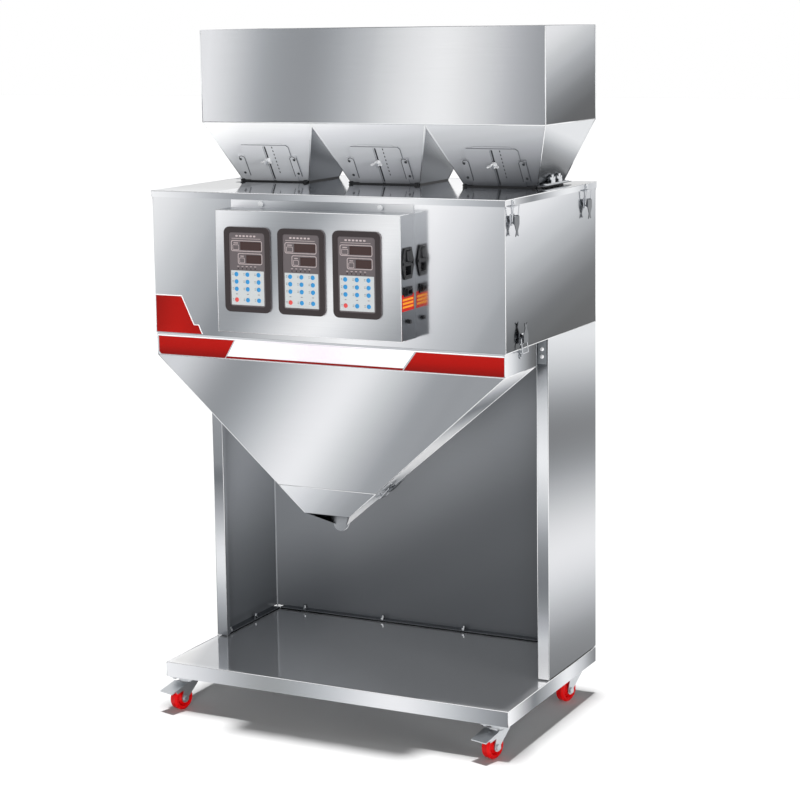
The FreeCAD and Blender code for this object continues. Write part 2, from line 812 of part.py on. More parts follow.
def make_deck():
    """The shelf inside the housing that carries the feeders and the load cells."""
    plate = block("DeckPlate", "-side_x + skin", "deck_y", "deck_z",
                  "machine_width - 2 * skin", "rear_y - skin - deck_y", "deck_wall")
    front = block("DeckFrontLip", "-side_x + skin", "deck_y", "deck_z - deck_lip",
                  "machine_width - 2 * skin", "deck_wall", "deck_lip + deck_wall")
    rear = block("DeckRearLip", "-side_x + skin", "rear_y - skin - deck_wall",
                 "deck_z - deck_lip", "machine_width - 2 * skin", "deck_wall",
                 "deck_lip + deck_wall")
    keep(fuse("Deck", plate, front, rear), "feeder_deck")


def make_lid():
    """The lid plate with its skirt and an opening under each chute and gate."""
    out = "skirt_gap + skin"
    shell = block("LidShell", f"-side_x - ({out})", f"front_y - ({out})", "lid_z",
                  f"machine_width + 2 * ({out})", f"housing_depth + 2 * ({out})", "lid_height")
    hollow = block("LidHollow", "-side_x - skirt_gap", "front_y - skirt_gap", "lid_z - 1",
                   "machine_width + 2 * skirt_gap", "housing_depth + 2 * skirt_gap",
                   "lid_height - skin + 1")
    openings = []
    for index in range(3):
        openings.append(block(f"LidOpening{index}",
                              f"{chute_x(index)} - chute_foot_width / 2 + lid_ledge",
                              "chute_front_y - gate_run", "lid_z",
                              "chute_foot_width - 2 * lid_ledge",
                              "chute_rear_y - chute_front_y + gate_run - lid_ledge",
                              "lid_height + 1"))
    keep(cut("Lid", shell, hollow, *openings), "lid_cover")


def chute_box(index, wall):
    """Low and high rectangles of one chute, drawn in by its wall.

    Neighbouring chutes lap a little at the top, so their walls meet below the bin.
    """
    middle = chute_x(index)
    left = "0" if index == 0 else "chute_lap"
    right = "0" if index == 2 else "chute_lap"
    low = (f"{middle} - chute_foot_width / 2 + {wall}", f"{middle} + chute_foot_width / 2 - {wall}",
           f"chute_front_y + {wall}", f"chute_rear_y - {wall}")
    high = (f"{middle} - chute_pitch / 2 - {left} + {wall}",
            f"{middle} + chute_pitch / 2 + {right} - {wall}",
            f"bin_y + {wall}", f"rear_y - {wall}")
    return low, high


def make_hopper():
    """The storage bin with its three chutes, folded and welded from sheet."""
    outer = [block("BinOuter", "-side_x", "bin_y", "bin_z", "machine_width", "bin_depth",
                   "bin_height")]
    inner = [block("BinInner", "-side_x + skin", "bin_y + skin", "bin_z", "machine_width - 2 * skin",
                   "bin_depth - 2 * skin", "bin_height + 1")]
    for index in range(3):
        low, high = chute_box(index, "0")
        outer.append(taper(f"ChuteOuter{index}", "chute_z", "bin_z", low, high))
        low, high = chute_box(index, "skin")
        inner.append(taper(f"ChuteInner{index}", "chute_z", "bin_z", low, high))
        inner.append(block(f"ChuteMouth{index}", low[0], low[2], "chute_z - 1",
                           "chute_foot_width - 2 * skin", "chute_rear_y - chute_front_y - 2 * skin",
                           "1.2"))
    for side, start in (("Left", "-chute_pitch - chute_foot_width / 2 - foot_lip"),
                        ("Right", "chute_pitch + chute_foot_width / 2 - 1")):
        outer.append(block(f"{side}FootLip", start, "chute_front_y", "chute_z", "foot_lip + 1",
                           "chute_rear_y - chute_front_y", "skin"))
    solid = fuse("HopperOuter", *outer)
    keep(cut("Hopper", solid, *inner), "storage_hopper")


def chute_seals(index):
    """Straight seal strips under one chute, open at the front where the gate passes."""
    left = f"{chute_x(index)} - chute_foot_width / 2"
    depth = "chute_rear_y - chute_front_y"
    return [
        block(f"Seal{index}Left", left, "chute_front_y", "lid_top", "seal_width", depth,
              "gasket_wall"),
        block(f"Seal{index}Right", f"{left} + chute_foot_width - seal_width", "chute_front_y",
              "lid_top", "seal_width", depth, "gasket_wall"),
        block(f"Seal{index}Rear", f"{left} + seal_width", "chute_rear_y - seal_width", "lid_top",
              "chute_foot_width - 2 * seal_width", "seal_width", "gasket_wall"),
    ]


def on_chute(item, index, out="0"):
    """Set a piece drawn facing the front against the sloping face of one chute."""
    turn(item, X_AXIS, "chute_lean")
    return move(item, chute_x(index), f"chute_front_y - ({out}) * cos(chute_lean)",
                f"chute_z - ({out}) * sin(chute_lean)")


def make_gate(index):
    """A plate with a slot for its stud and a row of index holes, bottom end inside the lid."""
    half = "gate_width / 2"
    name = f"Gate{index}"
    body = plate_body(name, "XZ_Plane", [
        (f"-{half}", "-gate_bottom"),
        (half, "-gate_bottom"),
        (half, "gate_top - gate_round"),
        (f"{half} - gate_round", "gate_top"),
        (f"-{half} + gate_round", "gate_top"),
        (f"-{half}", "gate_top - gate_round"),
    ], "gate_wall")
    tools = []
    slot = block(name + "Slot", "-gate_slot_width / 2", "-gate_wall - 1", "-gate_slot_bottom",
                 "gate_slot_width", "gate_wall + 2", "gate_slot_top + gate_slot_bottom")
    tools.append(slot)
    for end, z in (("Low", "-gate_slot_bottom"), ("High", "gate_slot_top")):
        tools.append(rod(name + "Slot" + end, "gate_slot_width / 2", "gate_wall + 2", "0",
                         "-gate_wall - 1", z, "Y"))
    for hole in range(8):
        tools.append(prism(f"{name}Hole{hole}", SMALL_ROUND, "gate_hole_radius",
                           "gate_wall + 2", "gate_hole_side", "-gate_wall - 1",
                           f"gate_slot_top - {hole} * gate_hole_pitch", "Y"))
    plate = cut(name + "Plate", body, *tools)
    piece = on_chute(group(name + "Set", plate), index, "run_gap")
    keep(piece, f"gate_plate_{('left', 'middle', 'right')[index]}")


def wing_nut(name, bored):
    """A wing nut standing on the plane Y = 0 and pointing to -Y, blind or bored for its stud."""
    hub = prism(name + "Hub", LARGE_ROUND, "wing_hub_radius", "wing_hub_height", "0",
                "-wing_hub_height", "0", "Y")
    wings = [hub]
    for side in (-1, 1):
        wings.append(plate_body(f"{name}Wing{'Left' if side < 0 else 'Right'}", "XY_Plane", [
            (f"{side} * 3.5", "-1"),
            (f"{side} * wing_span / 2", "-wing_height + 2"),
            (f"{side} * (wing_span / 2 - 1)", "-wing_height - 2"),
            (f"{side} * (wing_span / 2 - 5)", "-wing_height - 1"),
            (f"{side} * 3.5", "-wing_hub_height"),
        ], "wing_wall", symmetric=True))
    nut = fuse(name + "Solid", *wings)
    if not bored:
        return nut
    bore = rod(name + "Bore", "stud_radius + pin_play", "2 * gate_stud_length", "0",
               "-gate_stud_length - 1", "0", "Y")
    return cut(name, nut, bore)


def make_gate_nut(index):
    inner = wing_nut(f"GateNut{index}", True)
    move(inner, z="gate_stud_place")
    piece = on_chute(group(f"GateNut{index}Set", inner), index, "2 * run_gap + gate_wall")
    keep(piece, f"gate_wing_nut_{('left', 'middle', 'right')[index]}")


def gate_guides(index):
    """Two folded guides, their screws and the clamping stud on one chute face."""
    items = []
    half = "gate_width / 2 + run_gap"
    name = f"Guide{index}"
    for side, sign in (("Left", "-1"), ("Right", "1")):
        corner = f"{sign} * ({half} + guide_width / 2) - guide_width / 2"
        flat = block(name + side + "Flat", corner, "-gate_wall - 2 * run_gap - guide_wall",
                     "guide_low", "guide_width", "gate_wall + 2 * run_gap + guide_wall",
                     "guide_high - guide_low")
        lip = f"{sign} * ({half} - guide_lap / 2) - guide_lap / 2"
        lap = block(name + side + "Lap", lip, "-gate_wall - 2 * run_gap - guide_wall",
                    "guide_low", "guide_lap", "guide_wall", "guide_high - guide_low")
        items.append(fuse(name + side, flat, lap))
        for end, z in (("Low", "guide_low + 8"), ("High", "guide_high - 8")):
            items.append(prism(name + side + end, HEXAGON, "guide_screw_radius", "guide_wall",
                               f"{sign} * ({half} + guide_width / 2)",
                               "-gate_wall - 2 * (run_gap + guide_wall)", z, "Y"))
    items.append(prism(name + "Stud", LARGE_ROUND, "stud_radius", "gate_stud_length", "0",
                       "-gate_stud_length", "gate_stud_place", "Y"))
    return on_chute(group(name + "Set", *items), index)


def foot_clamp(side, sign):
    """A bar with two wing nuts that presses the outer foot of the hopper on the lid."""
    middle = f"{sign} * clamp_x"
    start = "chute_front_y + clamp_margin"
    top = "chute_z + skin + clamp_wall"
    items = [
        block(side + "ClampBar", f"{middle} - clamp_width / 2", start, "chute_z + skin",
              "clamp_width", "clamp_length", "clamp_wall"),
    ]
    for index in range(2):
        y = f"{start} + clamp_length * {index + 1} / 3"
        nut = turn(wing_nut(f"{side}ClampNut{index}", False), X_AXIS, "270")
        stud = prism(f"{side}ClampStud{index}", SMALL_ROUND, "stud_radius", "clamp_stud_length")
        nut = turn(fuse(f"{side}ClampNut{index}Set", nut, stud), Z_AXIS, "90")
        items.append(move(nut, middle, y, top))
    return items


def keeper(name):
    """A round keeper with a hook, drawn on the plane Y = 0 and facing -Y, hook down."""
    disc = prism(name + "Disc", LARGE_ROUND, "keeper_radius", "latch_wall", "0",
                 "-latch_wall", "0", "Y")
    strip = plate_body(name + "Hook", "YZ_Plane", [
        ("0", "2"),
        ("0", "-9"),
        ("-latch_wall - hook_out", "-9"),
        ("-latch_wall - hook_out", "-5"),
        ("-latch_wall - hook_out + 1.2", "-5"),
        ("-latch_wall - hook_out + 1.2", "-7.8"),
        ("-latch_wall", "-7.8"),
        ("-latch_wall", "2"),
    ], "hook_width / 2", symmetric=True)
    head = prism(name + "Screw", HEXAGON, "keeper_screw_radius", "2 * latch_wall", "0",
                 "-2 * latch_wall", "0", "Y")
    return fuse(name, disc, strip, head)


def upper_latch_places():
    """Name, side and y of the four latches between housing and lid."""
    return [
        ("front_left", "Left", "front_latch_y"),
        ("front_right", "Right", "front_latch_y"),
        ("rear_left", "Left", "rear_latch_y"),
        ("rear_right", "Right", "rear_latch_y"),
    ]


def face_side(item, side, out, y, z):
    """Set a piece drawn facing -Y on the left or right face of the machine."""
    turn(item, Z_AXIS, "90" if side == "Right" else "270")
    x = f"side_x + {out}" if side == "Right" else f"-side_x - ({out})"
    return move(item, x, y, z)


def make_hopper_fittings():
    items = []
    for index in range(3):
        items.extend(chute_seals(index))
        items.append(gate_guides(index))
    items.extend(foot_clamp("Left", "-1"))
    items.extend(foot_clamp("Right", "1"))
    for name, side, y in upper_latch_places():
        hook = group(name + "KeeperSet", keeper(name + "Keeper"))
        items.append(face_side(hook, side, "skirt_gap + skin", y, "lid_top - keeper_radius"))
    keep(group("HopperFittings", *items), "hopper_fittings")


# Feeders, buckets and their drives inside the housing

def make_troughs():
    """Three open channels, closed at the rear, each with an armature plate for its magnet."""
    for index in range(3):
        name = f"Trough{index}"
        x = f"{chute_x(index)} - trough_width / 2"
        length = "trough_y1 - trough_y0"
        shell = block(name + "Shell", x, "trough_y0", "trough_z", "trough_width", length,
                      "trough_height")
        hollow = block(name + "Hollow", f"{x} + skin", "trough_y0 - 1", "trough_z + skin",
                       "trough_width - 2 * skin", f"{length} - skin + 1", "trough_height")
        plate = block(name + "Armature", f"{chute_x(index)} - magnet_size / 2",
                      "front_y + drive_front + drive_length / 2 + magnet_shift + magnet_gap",
                      "trough_z - armature_drop", "magnet_size", "armature_wall", "armature_drop")
        piece = group(name, cut(name + "Pan", shell, hollow), plate)
        keep(piece, f"feed_trough_{('left', 'middle', 'right')[index]}")


def feeder_drives():
    """Under each trough: rubber feet, a base block, two leaf springs in clamps and a magnet."""
    items = []
    base_z = "deck_z + deck_wall"
    block_z = f"{base_z} + drive_foot"
    top_z = f"{block_z} + drive_height"
    y = "front_y + drive_front"
    for index in range(3):
        name = f"Drive{index}"
        x = chute_x(index)
        leaf_x = f"{x} - leaf_width / 2"
        for foot in range(4):
            foot_x = f"{x} + {(-1, 1, -1, 1)[foot]} * (drive_width / 2 - 14)"
            foot_y = f"{y} + 14" if foot < 2 else f"{y} + drive_length - 14"
            items.append(block(f"{name}Foot{foot}", f"{foot_x} - drive_foot_width / 2",
                               f"{foot_y} - drive_foot_width / 2", base_z, "drive_foot_width",
                               "drive_foot_width", "drive_foot"))
        items.append(block(name + "Base", f"{x} - drive_width / 2", y, block_z, "drive_width",
                           "drive_length", "drive_height"))
        upper_z = "trough_z - run_gap - leaf_clamp"
        for end, clamp_y in (("Front", f"{y} + 4"), ("Rear", f"{y} + drive_length - 18")):
            items.append(block(name + end + "LowClamp", leaf_x, clamp_y, top_z, "leaf_width",
                               "leaf_clamp", "leaf_clamp"))
            items.append(block(name + end + "TopClamp", leaf_x, clamp_y, upper_z, "leaf_width",
                               "leaf_clamp", "leaf_clamp"))
            items.append(block(name + end + "Leaf", leaf_x,
                               f"{clamp_y} + leaf_clamp / 2 - leaf_wall / 2",
                               f"{top_z} + leaf_clamp", "leaf_width", "leaf_wall",
                               f"{upper_z} - leaf_clamp - ({top_z})"))
        items.append(block(name + "MagnetCore", f"{x} - magnet_size / 2",
                           f"{y} + drive_length / 2 + magnet_shift - magnet_size", top_z,
                           "magnet_size", "magnet_size", f"trough_z - magnet_drop - ({top_z})"))
    return items


def make_bucket(index):
    """One weigh bucket with the ears of its door, its hanger, and the door pin."""
    x = chute_x(index)
    name = f"Bucket{index}"
    outer = []
    inner = []
    for part, wall, made in (("Outer", "0", outer), ("Inner", "skin", inner)):
        half = f"bucket_width / 2 - {wall}"
        high = (f"{x} - ({half})", f"{x} + {half}", f"bucket_y0 + {wall}", f"bucket_y1 - {wall}")
        low = (f"{x} - ({half} - bucket_side_run)", f"{x} + {half} - bucket_side_run",
               f"bucket_y0 + bucket_end_run + {wall}", f"bucket_y1 - bucket_end_run - {wall}")
        made.append(taper(name + part + "Taper", "bucket_foot", "bucket_bend", low, high))
        tall = "bucket_straight" if part == "Outer" else "bucket_straight + 1"
        made.append(block(name + part + "Top", high[0], high[2], "bucket_bend", f"2 * ({half})",
                          f"bucket_length - 2 * {wall}", tall))
    inner.append(block(name + "Mouth", f"{x} - (bucket_width / 2 - skin - bucket_side_run)",
                       "bucket_y0 + bucket_end_run + skin", "bucket_foot - 1",
                       "bucket_width - 2 * (skin + bucket_side_run)",
                       "bucket_length - 2 * (bucket_end_run + skin)", "1.1"))
    pin_half = "bucket_width / 2 - bucket_side_run + door_side_lap + door_ear_gap"
    for side, start in (("Left", f"{x} - ({pin_half}) - door_ear_wall"),
                        ("Right", f"{x} + {pin_half}")):
        ear = plate_body(name + "Ear" + side, "YZ_Plane", [
            ("door_axis_y + 5", "door_axis_z - 5"),
            ("door_axis_y + 5", "door_axis_z + 5"),
            ("door_axis_y - 1", "bucket_foot + 20"),
            ("door_axis_y - 14", "bucket_foot + 20"),
            ("door_axis_y - 5", "door_axis_z - 5"),
        ], "door_ear_wall")
        outer.append(move(ear, x=start))
    pin_length = f"2 * ({pin_half} + door_ear_wall)"
    inner.append(prism(name + "PinBore", SMALL_ROUND, "door_pin_radius", f"{pin_length} + 2",
                       f"{x} - ({pin_length}) / 2 - 1", "door_axis_y", "door_axis_z", "X"))
    back = block(name + "HangerBack", f"{x} - hanger_width / 2", "bucket_y1",
                 "bucket_bend - hanger_foot_wall", "hanger_width", "hanger_back_wall",
                 "hanger_height")
    foot = block(name + "HangerFoot", f"{x} - hanger_width / 2", "bucket_y1",
                 "bucket_bend - hanger_foot_wall", "hanger_width", "hanger_reach",
                 "hanger_foot_wall")
    pin = prism(name + "DoorPin", SMALL_ROUND, "door_pin_radius", pin_length,
                f"{x} - ({pin_length}) / 2", "door_axis_y", "door_axis_z", "X")
    bucket = cut(name, fuse(name + "Solid", *outer), *inner)
    return group(name + "Set", bucket, fuse(name + "Hanger", back, foot), pin)


def make_buckets():
    """The three weigh buckets and a door for each."""
    for index, side in enumerate(("left", "middle", "right")):
        keep(make_bucket(index), f"weigh_bucket_{side}")
        keep(make_door(index), f"bucket_door_{side}")


def make_door(index):
    """A flap under one bucket, on a knuckle round the bucket's door pin."""
    x = chute_x(index)
    name = f"Door{index}"
    half = "bucket_width / 2 - bucket_side_run + door_side_lap"
    plate = block(name + "Plate", f"{x} - ({half})", "bucket_y0 + bucket_end_run - 3",
                  "bucket_foot - run_gap - door_wall", f"2 * ({half})",
                  "door_axis_y - bucket_y0 - bucket_end_run + 3", "door_wall")
    knuckle = rod(name + "Knuckle", "door_knuckle", f"2 * ({half})", f"{x} - ({half})",
                  "door_axis_y", "door_axis_z", "X")
    arm = plate_body(name + "Arm", "YZ_Plane", [
        ("door_axis_y", "door_axis_z + 4"),
        ("door_axis_y + door_arm_reach", "door_axis_z - 9"),
        ("door_axis_y + door_arm_reach - 1", "door_axis_z - 15"),
        ("door_axis_y", "door_axis_z - 4"),
    ], "3")
    move(arm, x=f"{x} + door_arm_side")
    roller = prism(name + "Roller", LARGE_ROUND, "door_roller", "9", f"{x} + door_arm_side - 8",
                   "door_axis_y + door_arm_reach - 3", "door_axis_z - 11", "X")
    bore = rod(name + "Bore", "door_pin_radius + pin_play", f"2 * ({half}) + 20",
               f"{x} - ({half}) - 10", "door_axis_y", "door_axis_z", "X")
    return group(name + "Set", cut(name, fuse(name + "Solid", plate, knuckle, arm, roller), bore))


def make_cells():
    """Three load cells: a bored beam over a spacer on the deck's front edge."""
    items = []
    for index in range(3):
        x = chute_x(index)
        name = f"Cell{index}"
        rear = "deck_y + cell_rear_lap"
        beam = block(name + "Beam", f"{x} - cell_width / 2", f"{rear} - cell_length",
                     "bucket_bend", "cell_width", "cell_length", "cell_height")
        holes = []
        for side, shift in (("Front", "-"), ("Rear", "+")):
            holes.append(prism(name + "Hole" + side, LARGE_ROUND, "cell_hole_radius",
                               "cell_width + 2", f"{x} - cell_width / 2 - 1",
                               f"{rear} - cell_length / 2 {shift} (cell_hole_radius + 3)",
                               "bucket_bend + cell_height / 2", "X"))
        items.append(cut(name, beam, *holes))
        items.append(block(name + "Spacer", f"{x} - cell_width / 2", "deck_y + deck_wall + 2",
                           "deck_z + deck_wall", "cell_width", "cell_rear_lap - 6",
                           "bucket_bend - deck_z - deck_wall"))
    keep(group("Cells", *items), "load_cells")


def make_drives():
    """The feeder drives and three door motors on the deck's front lip, with shafts and cams."""
    items = feeder_drives()
    for index in range(3):
        x = chute_x(index)
        name = f"Motor{index}"
        face = "deck_y - motor_bracket_wall"
        low = "deck_z - motor_drop"
        axis_y = f"{face} - motor_depth / 2 - 2"
        axis_z = f"{low} + motor_height - cam_radius - 1"
        items.append(block(name + "Bracket", f"{x} - motor_bracket_width / 2", face, low,
                           "motor_bracket_width", "motor_bracket_wall", "motor_bracket_height"))
        items.append(block(name + "Case", f"{x} - motor_width / 2", f"{face} - motor_depth", low,
                           "motor_width", "motor_depth", "motor_height"))
        items.append(prism(name + "Shaft", SMALL_ROUND, "shaft_radius", "shaft_length",
                           f"{x} + motor_width / 2", axis_y, axis_z, "X"))
        items.append(prism(name + "Cam", 2 * LARGE_ROUND, "cam_radius", "cam_wall",
                           f"{x} + motor_width / 2 + shaft_length", axis_y, axis_z, "X"))
    keep(group("Drives", *items), "drive_units")


# Funnel and nozzle

def funnel_box(level, wall, run_wall):
    """Rectangle of the funnel's section, given by the height above its outlet."""
    half = f"outlet_width / 2 + funnel_run * ({level}) - ({run_wall})"
    return (f"-({half})", half, f"front_y + {wall}",
            f"outlet_y + funnel_rear_run * ({level}) - ({wall})")


def funnel_part(name, low, high, wall, run_wall):
    """A frustum of the funnel's section between two heights above its outlet."""
    return taper(name, f"outlet_z + {low}", f"outlet_z + {high}", funnel_box(low, wall, run_wall),
                 funnel_box(high, wall, run_wall))


def make_funnel():
    """The collar and inverted funnel, with a spigot that reaches down into the nozzle."""
    side_wall = "slope_wall"
    outer = [
        funnel_part("FunnelOuter", "nozzle_height", "funnel_drop", "0", "0"),
        block("CollarOuter", "-funnel_x", "front_y", "collar_z", "2 * funnel_x", "funnel_depth",
              "collar_height - seat_gap"),
        funnel_part("FunnelSpigot", "nozzle_height - spigot_height", "nozzle_height + 1",
                    "skin + seat_gap", f"{side_wall} + seat_gap"),
    ]
    inner = [
        funnel_part("FunnelInner", "nozzle_height - 1", "funnel_drop", "skin", side_wall),
        block("CollarInner", f"-funnel_x + {side_wall}", "front_y + skin", "collar_z",
              f"2 * (funnel_x - {side_wall})", "funnel_depth - 2 * skin", "collar_height + 1"),
    ]
    bore = funnel_part("SpigotInner", "nozzle_height - spigot_height - 1", "nozzle_height + 4",
                       "2 * skin + seat_gap", f"2 * ({side_wall}) + seat_gap")
    shell = cut("FunnelShell", fuse("FunnelWalls", outer[0], outer[1]), *inner)
    spigot = cut("SpigotShell", outer[2], bore)
    seam = funnel_part("SeamRing", "nozzle_height", "nozzle_height + 3", "0.1", "0.1")
    seam_bore = funnel_part("SeamRingBore", "nozzle_height - 1", "nozzle_height + 4",
                            "2 * skin + seat_gap", f"2 * ({side_wall}) + seat_gap")
    ring = cut("SeamRingShell", seam, seam_bore)
    items = [fuse("Funnel", shell, spigot, ring)]
    for side in ("Left", "Right"):
        hook = turn(keeper("Collar" + side + "Keeper"), Y_AXIS, "180")
        holder = group("Collar" + side + "KeeperSet", hook)
        items.append(face_side(holder, side, "-funnel_inset", "lower_latch_y",
                               "lower_latch_z - latch_keeper_rise"))
    items.append(on_slope(latch_base("NozzleLatch"), "nozzle_latch_rise"))
    keep(group("FunnelSet", *items), "collecting_funnel")


def on_slope(item, rise):
    """Set a latch piece, hook end down, on the right slope of the funnel.

    The rise is measured up the slope from the seam between funnel and nozzle.
    """
    turn(item, Y_AXIS, "180")
    faced = turn(group(item.Name + "Faced", item), Z_AXIS, "90")
    leaned = turn(group(item.Name + "Leaned", faced), Y_AXIS, "funnel_lean")
    return move(leaned, f"seam_x + ({rise}) * sin(funnel_lean)", "(front_y + seam_y) / 2",
                f"seam_z + ({rise}) * cos(funnel_lean)")


def make_nozzle():
    """The nozzle hangs below the funnel: a sloping cut with a rounded lip at the rear."""
    side_wall = "slope_wall"
    foot = "-nozzle_heel"
    top = "nozzle_height - seat_gap"
    outer = funnel_part("NozzleOuter", foot, top, "0", "0")
    inner = funnel_part("NozzleInner", "-nozzle_heel - 4", "nozzle_height + 1", "skin", side_wall)
    heel_y = "outlet_y - funnel_rear_run * nozzle_heel"
    knife = plate_body("NozzleKnife", "YZ_Plane", [
        ("front_y", "outlet_z"),
        (heel_y, "outlet_z - nozzle_heel"),
        (f"{heel_y} + 60", "outlet_z - nozzle_heel - 60"),
        ("front_y - 60", "outlet_z - nozzle_heel - 60"),
        ("front_y - 60", "outlet_z"),
    ], "4 * outlet_width", symmetric=True)
    lip = rod("NozzleLip", "nozzle_lip_radius", "skin", "0", "-skin", "0", "Y")
    lip_set = turn(group("NozzleLipLeaned", lip), X_AXIS, "360 deg - atan(funnel_rear_run)")
    move(lip_set, "0", heel_y, "outlet_z - nozzle_heel + 6")
    shell = fuse("Nozzle", cut("NozzleShell", outer, inner, knife), lip_set)
    hook = group("NozzleKeeperHolder", keeper("NozzleKeeper"))
    hook = on_slope(hook, "nozzle_latch_rise - latch_keeper_rise")
    keep(group("NozzleSet", shell, hook), "outlet_nozzle")


# Toggle latches, drawn facing -Y with the keeper above the lever pivot

def latch_base(name):
    """A back plate with two ears and the lever pin, drawn on the plane Y = 0."""
    wide = "latch_ear_gap / 2 + latch_wall"
    plate = block(name + "BasePlate", f"-({wide})", "-latch_wall",
                  "latch_base_top - latch_base_height", f"2 * ({wide})", "latch_wall",
                  "latch_base_height")
    items = [plate]
    for side, start in (("Left", f"-({wide})"), ("Right", "latch_ear_gap / 2")):
        ear = plate_body(name + "BaseEar" + side, "YZ_Plane", [
            ("0", "-5"),
            ("-latch_pivot_out - 1.2", "-2.6"),
            ("-latch_pivot_out - 2.6", "-1.2"),
            ("-latch_pivot_out - 2.6", "1.2"),
            ("-latch_pivot_out - 1.2", "2.6"),
            ("0", "2.6"),
        ], "latch_wall")
        items.append(move(ear, x=start))
    items.append(prism(name + "Pin", SMALL_ROUND, "latch_pin_radius", "latch_lever_width - 1",
                       "-(latch_lever_width - 1) / 2", "-latch_pivot_out", "0", "X"))
    return group(name + "BaseSet", fuse(name + "Base", *items))


def latch_lever(name):
    """A tapered lever with a split tail, standing clear over the base and its ears."""
    width = "latch_lever_width / 2"
    length = "latch_lever_length"
    front = plate_body(name + "LeverPlate", "XZ_Plane", [
        (f"-{width}", "1.5"),
        (f"-{width}", "-14"),
        ("-3.5", f"-0.72 * {length}"),
        ("-7", f"-{length}"),
        ("0", f"-{length} + 4"),
        ("7", f"-{length}"),
        ("3.5", f"-0.72 * {length}"),
        (width, "-14"),
        (width, "1.5"),
    ], "latch_wall")
    items = [move(front, y="-latch_pivot_out - 3.2")]
    for side, start in (("Left", f"-{width}"), ("Right", f"{width} - latch_wall")):
        ear = plate_body(name + "LeverEar" + side, "YZ_Plane", [
            ("-latch_pivot_out - 3.4", "1.5"),
            ("-latch_pivot_out - 2", "3"),
            ("-latch_pivot_out + 2.4", "3"),
            ("-latch_pivot_out + 2.4", "-10"),
            ("-latch_pivot_out - 3.4", "-14"),
        ], "latch_wall")
        items.append(move(ear, x=start))
    bore = rod(name + "LeverBore", "latch_pin_radius + pin_play", "latch_lever_width + 4",
               f"-{width} - 2", "-latch_pivot_out", "0", "X")
    bail_bore = rod(name + "BailBore", "bail_wire + pin_play", "latch_lever_width + 4",
                    f"-{width} - 2", "-latch_pivot_out", "-bail_tail", "X")
    return group(name + "LeverSet", cut(name + "Lever", fuse(name + "LeverSolid", *items), bore,
                                        bail_bore))


def wire_run(start, end, wire):
    """A straight run of wire between two points, drawn with few sides."""
    way = end - start
    tilt = Rotation(Z_AXIS, way)
    corners = []
    for index in range(SMALL_ROUND + 1):
        angle = 2 * math.pi * index / SMALL_ROUND
        corners.append(start + tilt.multVec(Vector(wire * math.cos(angle), wire * math.sin(angle), 0)))
    return Part.Face(Part.makePolygon(corners)).extrude(way)


def latch_bail(name):
    """A wire bail: two hooked feet, two legs and a bar in front of the keeper's hook."""
    wire = number("bail_wire")
    foot_y = -number("latch_pivot_out")
    foot_z = -number("bail_tail")
    side_x = number("bail_half_width")
    hook = number("skirt_gap") + number("skin") + number("latch_wall") + number("hook_out")
    bar_y = -(hook + wire + 2 * number("run_gap"))
    bar_z = number("bail_reach")
    stub = side_x - number("latch_lever_width") / 2 + number("latch_wall")
    runs = [wire_run(Vector(-side_x - wire, bar_y, bar_z), Vector(side_x + wire, bar_y, bar_z), wire)]
    for side in (-1, 1):
        foot = Vector(side * side_x, foot_y, foot_z)
        runs.append(wire_run(foot, Vector(side * side_x, bar_y, bar_z), wire))
        outer = Vector(side * wire, 0, 0)
        runs.append(wire_run(foot + outer, foot - Vector(side * stub, 0, 0), wire))
    item = doc.addObject("Part::Feature", name + "BailWire")
    item.Shape = runs[0].multiFuse(runs[1:]).removeSplitter()
    return group(name + "BailSet", item)


def make_latches():
    """Six latches on the machine's sides and the one on the funnel's slope."""
    spots = []
    for name, side, y in upper_latch_places():
        spots.append(("lid_latch", name, side, y, "latch_z", "0"))
    for side in ("Left", "Right"):
        spots.append(("funnel_latch", side.lower(), side, "lower_latch_y", "lower_latch_z", "180"))
    bases = []
    for kind, name, side, y, z, flip in spots:
        tag = "".join(word.title() for word in f"{kind}_{name}".split("_"))
        placed = []
        for maker in (latch_base, latch_lever, latch_bail):
            drawn = turn(maker(tag), Y_AXIS, flip)
            faced = group(drawn.Name + "Faced", drawn)
            placed.append(face_side(faced, side, "0", y, z))
        bases.append(placed[0])
        keep(placed[1], f"{kind}_lever_{name}")
        keep(placed[2], f"{kind}_bail_{name}")
    keep(group("LatchBases", *bases), "latch_bases")
    keep(on_slope(latch_lever("NozzleLatch"), "nozzle_latch_rise"), "nozzle_latch_lever")
    keep(on_slope(latch_bail("NozzleLatch"), "nozzle_latch_rise"), "nozzle_latch_bail")


# Control box and its panels

def bezel_x(index):
    """Left edge of one bezel."""
    return f"box_x + bezel_margin + {index} * bezel_pitch"


def make_box():
    shell = block("BoxShell", "box_x", "box_y", "box_z", "box_width", "box_depth", "box_height")
    hollow = block("BoxHollow", "box_x + skin", "box_y + skin", "box_z + skin",
                   "box_width - 2 * skin", "box_depth", "box_height - 2 * skin")
    windows = []
    for index in range(3):
        windows.append(block(f"BoxWindow{index}", f"{bezel_x(index)} + module_inset - run_gap",
                             "box_y - 1", "bezel_z + module_inset - run_gap",
                             "bezel_width - 2 * module_inset + 2 * run_gap", "skin + 2",
                             "bezel_height - 2 * module_inset + 2 * run_gap"))
    side = block("BoxInletWindow", "inlet_x - 3", "inlet_y - 15", "inlet_z - 25", "6", "30", "50")
    plug = block("BoxPlugWindow", "inlet_x - 3", "inlet_y - 11", "inlet_z - 61", "6", "22", "14")
    flange = block("BoxFlange", "box_x", "front_y - skin", "box_top - skin", "box_width", "skin",
                   "box_drop + skin - seat_gap")
    box = cut("BoxBody", shell, hollow, *windows, side, plug)
    keep(fuse("ControlBox", box, flange), "control_box")


